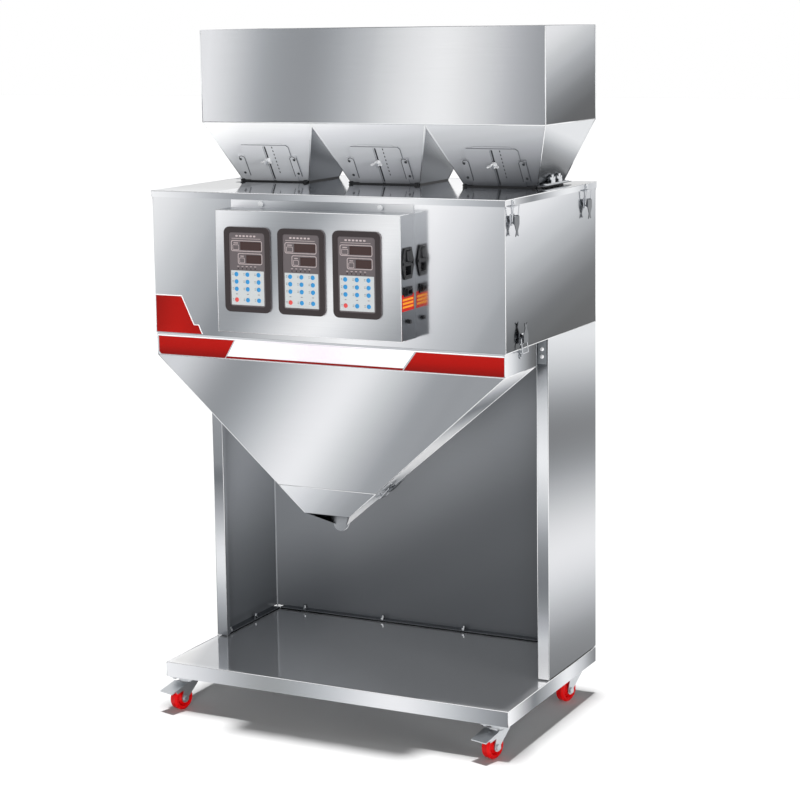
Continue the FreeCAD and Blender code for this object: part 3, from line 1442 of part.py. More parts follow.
def rounded_plate(name, x, y, z, width, thickness, height, corner):
    """An upright plate with four cut corners, as a box with round ends of the same radius."""
    tall = block(name + "Tall", f"{x} + {corner}", y, z, f"{width} - 2 * {corner}", thickness,
                 height)
    wide = block(name + "Wide", x, y, f"{z} + {corner}", width, thickness,
                 f"{height} - 2 * {corner}")
    items = [tall, wide]
    for index in range(4):
        across = f"{x} + {corner}" if index % 2 == 0 else f"{x} + {width} - {corner}"
        up = f"{z} + {corner}" if index < 2 else f"{z} + {height} - {corner}"
        items.append(rod(f"{name}Corner{index}", corner, thickness, across, y, up, "Y"))
    return fuse(name, *items)


def make_panels_front():
    """Three indicator modules: bezel with a recessed face, windows and keypad."""
    bezels = []
    windows = []
    keypads = []
    for index in range(3):
        x = bezel_x(index)
        name = f"Panel{index}"
        rim = rounded_plate(name + "Rim", x, "box_y - bezel_proud", "bezel_z", "bezel_width",
                            "bezel_proud", "bezel_height", "bezel_round")
        face = rounded_plate(name + "Face", f"{x} + bezel_rim", "box_y - bezel_proud - 1",
                             "bezel_z + bezel_rim", "bezel_width - 2 * bezel_rim", "face_depth + 1",
                             "bezel_height - 2 * bezel_rim", "bezel_round / 2")
        module = block(name + "Module", f"{x} + module_inset", "box_y - 0.5",
                       "bezel_z + module_inset", "bezel_width - 2 * module_inset",
                       "module_depth + 0.5", "bezel_height - 2 * module_inset")
        bezels.append(cut(name, fuse(name + "Solid", rim, module), face))
        front = "face_y - window_wall"
        for part, width, right, drop in (("Top", "window_width", "20", "29"),
                                         ("Low", "small_window_width", "20", "55")):
            windows.append(block(f"{name}Window{part}",
                                 f"{x} + bezel_width - {right} - {width}", front,
                                 f"bezel_top - {drop} - window_height", width, "window_wall",
                                 "window_height"))
        middle = f"{x} + bezel_width / 2"
        sheet_front = "face_y - keypad_wall"
        film = block(name + "Film", f"{middle} - keypad_width / 2", sheet_front, "keypad_z",
                     "keypad_width", "keypad_wall", "keypad_height")
        keypads.append(film)
    keep(group("Bezels", *bezels), "panel_bezels")
    keep(group("Windows", *windows), "display_windows")
    keep(group("Keypads", *keypads), "keypad_membranes")


def make_sockets():
    """Mains inlet with its switch opening, a signal socket and an earth stud."""
    half = "inlet_width / 2"
    high = "inlet_height / 2"
    flange = plate_body("InletFlange", "YZ_Plane", [
        (f"inlet_y - {half}", "inlet_z - 4"),
        ("inlet_y - 15", f"inlet_z - {high}"),
        ("inlet_y + 15", f"inlet_z - {high}"),
        (f"inlet_y + {half}", "inlet_z - 4"),
        (f"inlet_y + {half}", "inlet_z + 4"),
        ("inlet_y + 15", f"inlet_z + {high}"),
        ("inlet_y - 15", f"inlet_z + {high}"),
        (f"inlet_y - {half}", "inlet_z + 4"),
    ], "inlet_wall")
    move(flange, x="inlet_x")
    well = block("InletBody", "inlet_x - inlet_body_depth", "inlet_y - 14", "inlet_z - 24",
                 "inlet_body_depth", "28", "48")
    solid = fuse("InletSolid", flange, well)
    switch_hole = block("SwitchHole", "inlet_x - 12", "inlet_y - rocker_width / 2 - run_gap",
                        "inlet_z + 14 - rocker_height / 2 - 1.5", "20",
                        "rocker_width + 2 * run_gap", "rocker_height + 3")
    socket_hole = block("SocketHole", "inlet_x - 16", "inlet_y - 12", "inlet_z - 22", "24", "24",
                        "17")
    pin_bore = rod("RockerBore", "rocker_pin_radius + pin_play", "rocker_width + 4 + 2 * run_gap",
                   "inlet_x + 1", "inlet_y - rocker_width / 2 - 2 - run_gap", "inlet_z + 14", "Y")
    pins = [cut("Inlet", solid, switch_hole, socket_hole, pin_bore)]
    for index, (dy, dz) in enumerate((("-7", "-16"), ("0", "-11"), ("7", "-16"))):
        pins.append(block(f"InletPin{index}", "inlet_x - 16", f"inlet_y + {dy} - 2",
                          f"inlet_z + {dz} - 1", "13", "4", "2"))
    for side in ("-1", "1"):
        pins.append(prism(f"InletScrew{'Front' if side == '-1' else 'Rear'}", SMALL_ROUND,
                          "inlet_screw_radius", "inlet_screw_height", "inlet_x + inlet_wall",
                          f"inlet_y + {side} * inlet_screw_pitch / 2", "inlet_z", "X"))
    plug = block("SignalFlange", "inlet_x", "inlet_y - plug_width / 2",
                 "inlet_z - 54 - plug_height / 2", "3", "plug_width", "plug_height")
    nose = block("SignalNose", "inlet_x - 12", "inlet_y - 10", "inlet_z - 60", "19", "20", "12")
    bore = block("SignalBore", "inlet_x - 4", "inlet_y - 8", "inlet_z - 58", "12", "16", "8")
    pins.append(cut("SignalSocket", fuse("SignalSolid", plug, nose), bore))
    stud = rod("EarthStud", "4", "6", "inlet_x", "inlet_y + 2", "inlet_z - 112", "X")
    pins.append(stud)
    keep(group("SideSockets", *pins), "side_sockets")
    # Rocker: two faces that meet at a flat angle, on a short axle
    rocker = plate_body("RockerCap", "XZ_Plane", [
        ("-7", "-4"),
        ("-1", "-rocker_height / 2"),
        ("3", "-rocker_height / 2 + 0.5"),
        ("1.4", "0"),
        ("1.4", "rocker_height / 2 - 0.5"),
        ("-1", "rocker_height / 2"),
        ("-7", "4"),
    ], "rocker_width", symmetric=True)
    move(rocker, "inlet_x + inlet_wall", "inlet_y", "inlet_z + 14")
    axle = rod("RockerPin", "rocker_pin_radius", "rocker_width + 4", "inlet_x + 1",
               "inlet_y - rocker_width / 2 - 2", "inlet_z + 14", "Y")
    keep(fuse("Rocker", rocker, axle), "rocker_switch")


def check_and_write():
    doc.recompute()
    faults = []
    for item in doc.Objects:
        if "Invalid" in item.State or "Error" in item.State:
            faults.append(f"{item.Name} {item.State}")
    for item in NODES:
        shape = item.Shape
        if shape.isNull() or not shape.isValid() or not shape.Solids:
            faults.append(f"{item.Label} has no sound shape")
    if faults:
        raise SystemExit("\n".join(faults))
    os.makedirs("parts", exist_ok=True)
    for item in NODES:
        item.Shape.exportStep(f"parts/{item.Label}.step")
        print(item.Label, len(item.Shape.Solids), round(item.Shape.Volume))


make_tray()
make_panels()
make_fixings()
make_caster_mounts()
make_casters()
make_housing()
make_deck()
make_lid()
make_hopper()
for gate in range(3):
    make_gate(gate)
    make_gate_nut(gate)
make_hopper_fittings()
make_troughs()
make_drives()
make_buckets()
make_cells()
make_funnel()
make_nozzle()
make_latches()
make_box()
make_panels_front()
make_sockets()
check_and_write()
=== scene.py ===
import json
import math

import bmesh
import bpy
from mathutils import Matrix, Vector


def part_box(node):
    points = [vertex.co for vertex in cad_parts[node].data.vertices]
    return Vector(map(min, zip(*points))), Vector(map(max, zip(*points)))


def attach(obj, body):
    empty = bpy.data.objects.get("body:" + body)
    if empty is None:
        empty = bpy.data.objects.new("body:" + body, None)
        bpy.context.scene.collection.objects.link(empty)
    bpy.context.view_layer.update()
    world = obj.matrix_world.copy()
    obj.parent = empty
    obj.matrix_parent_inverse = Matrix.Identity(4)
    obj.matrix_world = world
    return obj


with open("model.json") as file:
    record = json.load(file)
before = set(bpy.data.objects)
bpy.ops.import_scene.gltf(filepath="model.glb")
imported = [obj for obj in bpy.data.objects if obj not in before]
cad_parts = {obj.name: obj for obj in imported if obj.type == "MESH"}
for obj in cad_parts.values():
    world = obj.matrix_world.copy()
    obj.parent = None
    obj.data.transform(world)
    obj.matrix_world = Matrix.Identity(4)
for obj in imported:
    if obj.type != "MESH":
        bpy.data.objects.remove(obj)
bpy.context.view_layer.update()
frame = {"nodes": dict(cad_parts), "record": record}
nodes = frame["nodes"]

MM = 0.001
FRONT = (0, -1, 0)
BACK = (0, 1, 0)
RIGHT = (1, 0, 0)
LEFT = (-1, 0, 0)
UP = (0, 0, 1)

# Camera: its place in metres, its turns in degrees, its lens and the middle of its view in pixels
CAMERA_PLACE = (1.94707, -3.76687, 1.43170)
CAMERA_YAW = 27.03
CAMERA_PITCH = 8.01
CAMERA_ROLL = -0.85
PICTURE_WIDTH = 800
FOCAL_PIXELS = 2087.87
AXIS_ACROSS = 381.5
AXIS_DOWN = 312.0
SENSOR_WIDTH = 36.0


def place_camera():
    """The photograph's standpoint: a long lens a little above the lid, to the right of the front."""
    camera = bpy.data.objects.new("camera", bpy.data.cameras.new("camera"))
    bpy.context.scene.collection.objects.link(camera)
    camera.data.sensor_width = SENSOR_WIDTH
    camera.data.lens = FOCAL_PIXELS * SENSOR_WIDTH / PICTURE_WIDTH
    camera.data.shift_x = (PICTURE_WIDTH / 2 - AXIS_ACROSS) / PICTURE_WIDTH
    camera.data.shift_y = (AXIS_DOWN - PICTURE_WIDTH / 2) / PICTURE_WIDTH
    camera.data.clip_end = 200.0
    turn = Matrix.Rotation(math.radians(CAMERA_YAW), 4, "Z")
    tilt = Matrix.Rotation(math.radians(90 - CAMERA_PITCH), 4, "X")
    roll = Matrix.Rotation(math.radians(CAMERA_ROLL), 4, "Z")
    camera.matrix_world = Matrix.Translation(CAMERA_PLACE) @ turn @ tilt @ roll
    bpy.context.scene.camera = camera


# Measures of the machine in millimetres: x to the right, y to the back, z up

def box_mm(node):
    """The lowest and highest corner of a piece of the machine, in millimetres."""
    return [Vector([round(value / MM, 2) for value in corner]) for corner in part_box(node)]


tray_low, tray_high = box_mm("base_tray")
TRAY_BASE = tray_low.z
TRAY_TOP = tray_high.z

post_low, post_high = box_mm("stand_side_panels")
POST_Y = post_low.y
POST_WIDTH = 24

housing_low, housing_high = box_mm("housing_shell")
SIDE_X = housing_high.x
FRONT_Y = housing_low.y
REAR_Y = housing_high.y
HOUSING_Z = housing_low.z

lid_low, lid_high = box_mm("lid_cover")
LID_SIDE = lid_high.x
LID_FRONT = lid_low.y
LID_REAR = lid_high.y
LID_Z = lid_low.z
LID_TOP = lid_high.z

hopper_low, hopper_high = box_mm("storage_hopper")
BIN_Y = hopper_low.y
CHUTE_Z = hopper_low.z
RIM_Z = hopper_high.z
SILL_Z = 1221
CHUTE_Y = 75
CHUTE_REAR_Y = 212
FOOT_HALF = 80
PITCH = 260

COLLAR_X = 388
COLLAR_Z = 755
COLLAR_REAR_Y = box_mm("collecting_funnel")[1].y
SEAM_X = 109.5
SEAM_Y = -117.9
SEAM_Z = 507
OUTLET_X = 50
OUTLET_Z = 454

cabinet_low, cabinet_high = box_mm("control_box")
BOX_LEFT = cabinet_low.x
BOX_RIGHT = cabinet_high.x
BOX_Y = cabinet_low.y
BOX_Z = cabinet_low.z
BOX_TOP = 1063


# Colours and node trees

def linear(shade):
    """A colour written as sRGB hex, as the linear values that a shader takes."""
    values = [int(shade[i:i + 2], 16) / 255 for i in (0, 2, 4)]
    return tuple(v / 12.92 if v <= 0.04045 else ((v + 0.055) / 1.055) ** 2.4 for v in values) + (1.0,)


def add_node(tree, kind, links=None, **settings):
    """One shader node: its settings, its constant inputs and the sockets that feed it."""
    node = tree.nodes.new(kind)
    for name, value in settings.items():
        setattr(node, name, value)
    for name, value in (links or {}).items():
        if isinstance(value, bpy.types.NodeSocket):
            tree.links.new(value, node.inputs[name])
        else:
            node.inputs[name].default_value = value
    return node


def new_finish(name, shade, metallic=0.0, roughness=0.5, **sockets):
    """A material with its Principled shader, at its plain colour."""
    finish = bpy.data.materials.new(name)
    finish.use_nodes = True
    shader = finish.node_tree.nodes["Principled BSDF"]
    shader.inputs["Base Color"].default_value = linear(shade)
    shader.inputs["Metallic"].default_value = metallic
    shader.inputs["Roughness"].default_value = roughness
    for socket, value in sockets.items():
        shader.inputs[socket.replace("_", " ")].default_value = value
    return finish, finish.node_tree, shader


def place_on_piece(tree):
    """Where a point of the surface lies on its piece, in metres in the machine's frame."""
    return add_node(tree, "ShaderNodeTexCoord").outputs["Object"]


def how_far(tree, start, end):
    """How far a point of the surface has come from the start towards the end, 0 to 1."""
    start = Vector(start)
    way = Vector(end) - start
    way = way / way.length_squared
    along = add_node(tree, "ShaderNodeVectorMath", {0: place_on_piece(tree), 1: way},
                     operation="DOT_PRODUCT")
    return add_node(tree, "ShaderNodeMath", {0: along.outputs["Value"], 1: way.dot(start)},
                    operation="SUBTRACT").outputs[0]


def bands(tree, start, end, stops):
    """Soft bands of light and shade from the start to the end: stops are (part of the way, shade)."""
    ramp = add_node(tree, "ShaderNodeValToRGB", {"Fac": how_far(tree, start, end)})
    ramp.color_ramp.interpolation = "CARDINAL"
    while len(ramp.color_ramp.elements) < len(stops):
        ramp.color_ramp.elements.new(0.5)
    for element, (part, shade) in zip(ramp.color_ramp.elements, stops):
        element.position = part
        element.color = linear(shade)
    return ramp.outputs["Color"]


def patterned(tree, shader, colour, pattern, spread, relief, depth_mm, gloss=None):
    """Lets a fine pattern vary the colour by a spread and raise the surface by a relief. The gloss is
    (roughness, how far the pattern varies it)."""
    level = add_node(tree, "ShaderNodeMapRange",
                     {"Value": pattern, "To Min": 1 - spread, "To Max": 1 + spread})
    tint = add_node(tree, "ShaderNodeMix", {0: 1.0, 6: colour, 7: level.outputs[0]},
                    data_type="RGBA", blend_type="MULTIPLY")
    tree.links.new(tint.outputs[2], shader.inputs["Base Color"])
    if gloss:
        roughness, change = gloss
        shine = add_node(tree, "ShaderNodeMapRange",
                         {"Value": pattern, "To Min": roughness - change, "To Max": roughness + change})
        tree.links.new(shine.outputs[0], shader.inputs["Roughness"])
    bump = add_node(tree, "ShaderNodeBump", {"Height": pattern, "Strength": relief,
                                             "Distance": depth_mm * MM})
    tree.links.new(bump.outputs[0], shader.inputs["Normal"])


# Masks: each turns a node tree into a socket that is 1 on a part of the surface and 0 elsewhere

def towards(direction, least=0.5):
    """The faces that look along the direction."""
    def mask(tree):
        normal = add_node(tree, "ShaderNodeTexCoord").outputs["Normal"]
        along = add_node(tree, "ShaderNodeVectorMath", {0: normal, 1: direction}, operation="DOT_PRODUCT")
        return add_node(tree, "ShaderNodeMath", {0: along.outputs["Value"], 1: least},
                        operation="GREATER_THAN").outputs[0]
    return mask


def beyond(start, end):
    """The surface past the middle of the way from the start to the end."""
    def mask(tree):
        return add_node(tree, "ShaderNodeMath", {0: how_far(tree, start, end), 1: 0.5},
                        operation="GREATER_THAN").outputs[0]
    return mask


def both(first, second):
    """Where two masks meet."""
    def mask(tree):
        return add_node(tree, "ShaderNodeMath", {0: first(tree), 1: second(tree)},
                        operation="MULTIPLY").outputs[0]
    return mask


def either(first, second):
    """Where at least one of two masks is."""
    def mask(tree):
        return add_node(tree, "ShaderNodeMath", {0: first(tree), 1: second(tree)},
                        operation="MAXIMUM").outputs[0]
    return mask


def towards_beyond(direction, start, end, least=0.5):
    """The faces that look along the direction, past the middle of the way."""
    return both(towards(direction, least), beyond(start, end))


def beside_level(level, away=1.0):
    """Two places just above and just below a level in millimetres: the ends of a way for beyond."""
    return (0, 0, (level + away) * MM), (0, 0, (level - away) * MM)


def leaning(start, direction, length):
    """The way along which a face's shade changes, from a place on it, over a length in metres."""
    start = Vector(start)
    return start, start + Vector(direction).normalized() * length


# Brushed stainless sheet. Real hairlines are about 0.1 mm apart, which this view can't show, so the
# lines are drawn 1.6 mm apart: that keeps the look of a finish brushed along the sheet.

HAIRLINE = 1.6 * MM
HAIRLINE_LENGTH = 120 * MM
BRUSHED_ALONG_X = (1 / HAIRLINE_LENGTH, 1 / HAIRLINE, 1 / HAIRLINE)


def brushed_sheet(name, shade, faces=(), roughness=0.24, streaks=0.035, dull=None):
    """Stainless sheet, brushed: hard and bright, with soft bands of painted light and shade along each panel
    and fine hairlines. A face is (mask, start, end, stops). The dull part is (mask, metallic): faces left
    as rolled, which mirror less and show more of their painted bands."""
    finish, tree, shader = new_finish(name, shade, metallic=1.0, roughness=roughness)
    colour = linear(shade)
    for mask, start, end, stops in faces:
        face = add_node(tree, "ShaderNodeMix", {0: mask(tree), 6: colour, 7: bands(tree, start, end, stops)},
                        data_type="RGBA")
        colour = face.outputs[2]
    if dull:
        where, metallic = dull
        metal = add_node(tree, "ShaderNodeMapRange",
                         {"Value": where(tree), "To Min": 1.0, "To Max": metallic})
        tree.links.new(metal.outputs[0], shader.inputs["Metallic"])
    place = add_node(tree, "ShaderNodeMapping", {"Vector": place_on_piece(tree), "Scale": BRUSHED_ALONG_X})
    lines = add_node(tree, "ShaderNodeTexNoise", {"Vector": place.outputs[0], "Scale": 1.0,
                                                  "Detail": 3.0, "Roughness": 0.6})
    patterned(tree, shader, colour, lines.outputs[0], streaks, 0.012, 0.2, gloss=(roughness, 0.03))
    return finish


# Finishes of the sheet metal, one for each formed piece: their bands are painted light, shade and reflections

# The chute fronts' painted shade: brightest at the top, darkening towards their feet.
CHUTE_FRONT_WAY = leaning((0, 0, 1.271), (0.15, 0, -1), 0.217)
CHUTE_FRONT_SHADES = ((0.0, "FDFDFE"), (0.13, "F4F5F6"), (0.25, "E0E1E4"), (0.4, "C8CACD"),
                      (0.5, "BABCBF"), (0.6, "A9ABAF"), (0.8, "7D7F83"), (1.0, "4C4E52"))


def hopper_sheet():
    """The hopper: painted bands of light and shade on the bin above its sill, painted shade that darkens its
    right sides downwards, and the chutes' fronts left as rolled with painted shade that darkens them
    downwards.
    """
    low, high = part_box("storage_hopper")
    sill = SILL_Z * MM
    above, below = beside_level(SILL_Z)
    chute_fronts = towards_beyond(FRONT, above, below)
    return brushed_sheet("brushed_stainless_hopper", "B4B7BB", dull=(chute_fronts, 0.0), faces=(
        (chute_fronts, *CHUTE_FRONT_WAY, CHUTE_FRONT_SHADES),
        (towards(RIGHT), *leaning((high.x, low.y, sill), (0, -0.2, -1), 0.1), (
            (0.0, "D6D8DB"), (0.25, "A3A6AA"), (0.5, "63666A"), (0.7, "6A6D71"), (0.85, "676A6E"),
            (1.0, "54575B"))),
        (towards_beyond(FRONT, below, above, 0.9), (low.x, low.y, sill), (high.x, low.y, sill - 0.11), (
            (0.0, "DFE0E3"), (0.14, "AAADB1"), (0.28, "8E9195"), (0.4, "A5A8AC"), (0.5, "C3C5C8"),
            (0.64, "E2E3E5"), (0.74, "DCDDDF"), (0.86, "B6B8BC"), (1.0, "8A8D91"))),
        (towards_beyond(RIGHT, below, above, 0.9),
         *leaning((high.x, low.y, high.z - 0.013), (0, 0.27, -1), 0.225), (
            (0.0, "DFE0E3"), (0.2, "C7C9CC"), (0.4, "A2A5A9"), (0.6, "75787C"), (0.8, "44474B"),
            (1.0, "2C2E31"))),
        (towards_beyond(LEFT, below, above, 0.9), (high.x, low.y, high.z), (high.x, high.y, sill), (
            (0.0, "E2E3E6"), (0.35, "B8BABE"), (1.0, "7C7F84"))),
    ))


def housing_sheet():
    """The housing's shell: a painted slanting light band on the front, and painted shade that darkens its
    right side downwards.
    """
    low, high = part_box("housing_shell")
    return brushed_sheet("brushed_stainless_housing", "B9BCC0", roughness=0.13, faces=(
        (towards(FRONT), *leaning((low.x, 0, high.z), (1, 0, -0.6), 0.79), (
            (0.0, "E2E3E5"), (0.1, "CACCCF"), (0.19, "AEB1B5"), (0.27, "999CA0"), (0.36, "909397"),
            (0.64, "E5E6E8"), (0.74, "DEDFE2"), (0.84, "C1C3C7"), (0.95, "A2A5A9"), (1.0, "93969A"))),
        (towards(RIGHT), *leaning((high.x, -0.12, high.z - 0.009), (0, 0.22, -1), 0.331), (
            (0.0, "DFE0E3"), (0.17, "C8CACE"), (0.34, "ABAEB2"), (0.5, "888B8F"), (0.68, "585B5F"),
            (0.86, "3A3D40"), (1.0, "2A2C2F"))),
        (towards(LEFT), (high.x, low.y, high.z), (high.x, high.y, low.z), (
            (0.0, "E0E1E4"), (0.4, "C2C4C8"), (1.0, "82858A"))),
    ))


def lid_sheet():
    """The lid, polished: its top mirrors the chutes and carries painted reflections of them, with painted
    shade at its left end; its front and right side carry painted bands of light and shade.
    """
    low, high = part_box("lid_cover")
    return brushed_sheet("polished_stainless_lid", "C4C7CB", roughness=0.07, streaks=0.015, faces=(
        (towards(UP), (low.x, 0, 0), (high.x, 0, 0), (
            (0.0, "C8CBCF"), (0.25, "D2D4D8"), (0.5, "D0D2D6"), (0.75, "F0F1F3"), (0.88, "DCDEE1"),
            (1.0, "A4A7AB"))),
        (towards_beyond(UP, (-0.2, 0, 0), (-0.3, 0, 0)), (0, low.y, 0), (0, high.y, 0), (
            (0.0, "C2C5C9"), (0.1, "A8ABAF"), (0.22, "85888C"), (1.0, "787B7F"))),
        (towards_beyond(UP, (0.33, 0, 0), (0.36, 0, 0)), (0, low.y, 0), (0, high.y, 0), (
            (0.0, "A4A7AB"), (0.12, "D8DADD"), (0.35, "FDFDFE"), (0.5, "FDFDFE"), (0.62, "A8ABAF"),
            (0.75, "4C4F53"), (0.88, "5A5D61"), (1.0, "74777B"))),
        (towards(FRONT), (low.x, 0, 0), (high.x, 0, 0), (
            (0.0, "EAEBED"), (0.13, "C4C6CA"), (0.27, "96999D"), (0.5, "B8BBBF"), (0.7, "E4E5E7"),
            (0.87, "BEC1C5"), (1.0, "96999D"))),
        (towards(RIGHT), (0, low.y, 0), (0, high.y, 0), (
            (0.0, "DEDFE2"), (0.24, "7F8286"), (0.38, "989B9F"), (0.5, "BEC0C4"), (0.62, "DADCDF"),
            (0.75, "D8DADD"), (0.86, "B6B9BD"), (1.0, "C4C6CA"))),
    ))


def funnel_sheet():
    """The funnel: a painted slanting light band on the front, a right slope left as rolled with painted bands
    of light, and painted shade on the collar's right side.
    """
    low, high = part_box("collecting_funnel")
    shoulder = COLLAR_Z * MM
    above, below = beside_level(COLLAR_Z)
    slope = towards_beyond(RIGHT, above, below, 0.35)
    return brushed_sheet("brushed_stainless_funnel", "B4B7BB", dull=(slope, 0.0), faces=(
        (towards(FRONT, 0.35), *leaning((-0.33, 0, shoulder), (1, 0, -0.68), 0.554), (
            (0.0, "C8CACE"), (0.195, "8E9195"), (0.38, "B0B3B7"), (0.575, "DFE0E3"), (0.7, "CDCFD2"),
            (0.84, "9FA2A6"), (0.94, "909397"), (1.0, "909397"))),
        (slope, *leaning((high.x, 0, shoulder), (-0.75, 0, -0.67), 0.36), (
            (0.0, "FDFDFE"), (0.13, "C8CACE"), (0.27, "8A8D91"), (0.36, "8C8F93"), (0.5, "CCCED1"),
            (0.62, "F4F5F6"), (0.76, "FDFDFE"), (0.9, "E8E9EB"), (1.0, "B4B7BB"))),
        (towards_beyond(FRONT, below, above, 0.9), (low.x, 0, 0), (high.x, 0, 0), (
            (0.0, "C8CACE"), (1.0, "B4B7BB"))),
        (towards_beyond(RIGHT, below, above, 0.9), (0, low.y, 0), (0, low.y + 0.16, 0), (
            (0.0, "E8E9EB"), (0.35, "B6B9BD"), (0.7, "6C6F73"), (1.0, "2E3033"))),
    ))


def nozzle_sheet():
    """The nozzle carries the funnel's painted light and shade on. Its outer right slope alone is left as
    rolled, with a painted light band.
    """
    low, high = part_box("outlet_nozzle")
    side = towards_beyond(RIGHT, (0, 0, 0), (2 * MM, 0, 0), 0.35)
    return brushed_sheet("brushed_stainless_nozzle", "A8ABAF", dull=(side, 0.0), faces=(
        (side, *leaning((high.x, 0, high.z), (-0.75, 0, -0.67), 0.09), (
            (0.0, "A8ABAF"), (0.4, "DADCDF"), (1.0, "FDFDFE"))),
        (towards(FRONT, 0.35), *leaning((low.x, 0, high.z), (1, 0, -0.9), 0.2), (
            (0.0, "E0E2E5"), (0.1, "DADCDF"), (0.27, "CCCED2"), (0.45, "B5B8BC"), (0.55, "A6A9AD"),
            (0.64, "999CA0"), (0.75, "8E9195"), (1.0, "8B8E92"))),
    ))


def side_panel_sheet():
    """The stand's sides: painted bands of light and shade outside and on the posts' fronts, and left as
    rolled on the faces that look inwards, where painted shade darkens them downwards.
    """
    low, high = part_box("stand_side_panels")
    middle = (0, 0, 0)
    right_half = (2 * MM, 0, 0)
    left_half = (-2 * MM, 0, 0)
    right_face = (2 * (high.x - 1 * MM), 0, 0)
    left_face = (-2 * (high.x - 1 * MM), 0, 0)
    inner_right = towards_beyond(LEFT, middle, right_half)
    inner_left = towards_beyond(RIGHT, middle, left_half)
    top = (0, 0, high.z)
    base = (0, 0, low.z)
    outside = leaning((0, 0, high.z), (0, -0.1, -1), high.z - low.z)
    inside_shades = ((0.0, "B0B3B8"), (0.45, "A2A5AA"), (0.7, "7B7E82"), (0.97, "56595D"), (1.0, "56595D"))
    outside_shades = ((0.0, "D5D7DA"), (0.14, "9B9EA2"), (0.27, "5F6266"), (0.42, "94979B"),
                      (0.6, "D5D6D9"), (0.74, "BDBFC3"), (0.86, "7F8286"), (1.0, "505357"))
    dull = (either(inner_left, inner_right), 0.12)
    return brushed_sheet("brushed_stainless_sides", "8E9196", dull=dull, faces=(
        (inner_left, top, base, inside_shades),
        (inner_right, top, base, inside_shades),
        (towards_beyond(FRONT, middle, right_half), top, base, (
            (0.0, "8E9195"), (0.13, "B4B7BB"), (0.3, "DCDEE1"), (0.4, "D8DADD"), (0.55, "A2A5A9"),
            (0.69, "76797D"), (0.8, "8E9195"), (0.88, "C4C6CA"), (1.0, "FDFDFE"))),
        (towards_beyond(FRONT, middle, left_half), top, base, (
            (0.0, "A8ABAF"), (0.45, "808387"), (0.52, "787B7F"), (0.66, "BCBEC2"), (0.76, "DADCDF"),
            (0.86, "B4B7BB"), (1.0, "76797D"))),
        (towards_beyond(RIGHT, middle, right_face), *outside, outside_shades),
        (towards_beyond(LEFT, middle, left_face), *outside, outside_shades),
    ))


def back_panel_sheet():
    """The stand's back: dull inside and darkened there by painted shade, with painted bands of light on the
    side that nobody sees from the front.
    """
    low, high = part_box("stand_back_panel")
    dull = (towards(FRONT), 0.12)
    return brushed_sheet("brushed_stainless_back", "8E9196", roughness=0.34, dull=dull, faces=(
        (towards(FRONT), *leaning((0, 0, 0.48), (0.55, 0, -1), 0.429), (
            (0.0, "85888C"), (0.33, "5C5F63"), (0.66, "505357"), (1.0, "505357"))),
        (towards(BACK), (low.x, 0, high.z), (high.x, 0, low.z), (
            (0.0, "D8DADD"), (0.45, "A4A7AB"), (0.8, "DCDEE1"), (1.0, "A0A3A7"))),
    ))


def tray_sheet():
    """The tray, polished: its top mirrors the posts and panels that stand on it and carries painted light at
    its front left corner; its rim carries painted bands of light and shade.
    """
    low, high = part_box("base_tray")
    dull = (towards(UP), 0.6)
    return brushed_sheet("satin_stainless_tray", "B9BCC0", roughness=0.07, streaks=0.02, dull=dull, faces=(
        (towards(UP), (low.x, low.y, 0), (low.x + 0.3, low.y + 0.1, 0), (
            (0.0, "FDFDFE"), (0.12, "FDFDFE"), (0.22, "DCDEE1"), (0.6, "D8DADD"), (1.0, "F0F1F3"))),
        (towards(FRONT), (low.x, 0, 0), (high.x, 0, 0), (
            (0.0, "E4E5E8"), (0.15, "BEC0C4"), (0.31, "949799"), (0.5, "B8BBBF"), (0.68, "E0E1E4"),
            (0.85, "B8BBBF"), (1.0, "7E8185"))),
        (towards(RIGHT), (0, low.y, 0), (0, high.y, 0), (
            (0.0, "E8E9EB"), (0.24, "777A7E"), (0.35, "767A7E"), (0.5, "ACAFB3"), (0.64, "D8DADD"),
            (0.76, "C4C6CA"), (0.88, "999CA0"), (1.0, "54575B"))),
    ))


def box_sheet():
    """The control box: satin, with coarser hairlines, a painted light band softer than the housing's, and
    painted shade that darkens its right side downwards.
    """
    low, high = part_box("control_box")
    return brushed_sheet("satin_stainless_box", "B4B7BB", roughness=0.32, streaks=0.06, faces=(
        (towards(FRONT), *leaning((-0.2, 0, 1.055), (1, 0, -0.84), 0.444), (
            (0.0, "E6E7EA"), (0.15, "BABDC1"), (0.3, "94979B"), (0.45, "AEB1B5"), (0.65, "E2E3E5"),
            (0.8, "D0D2D5"), (1.0, "989B9F"))),
        (towards(RIGHT), (0, 0, high.z), (0, 0, low.z), (
            (0.0, "B8BBBF"), (0.4, "989B9F"), (0.75, "7E8185"), (1.0, "626569"))),
    ))


def gate_sheet():
    """The gates, with the painted shade of the chute fronts that they lie on."""
    return brushed_sheet("brushed_stainless_gates", "C4C7CB", dull=(towards(FRONT), 0.0), faces=(
        (towards(FRONT), *CHUTE_FRONT_WAY, CHUTE_FRONT_SHADES),
    ))


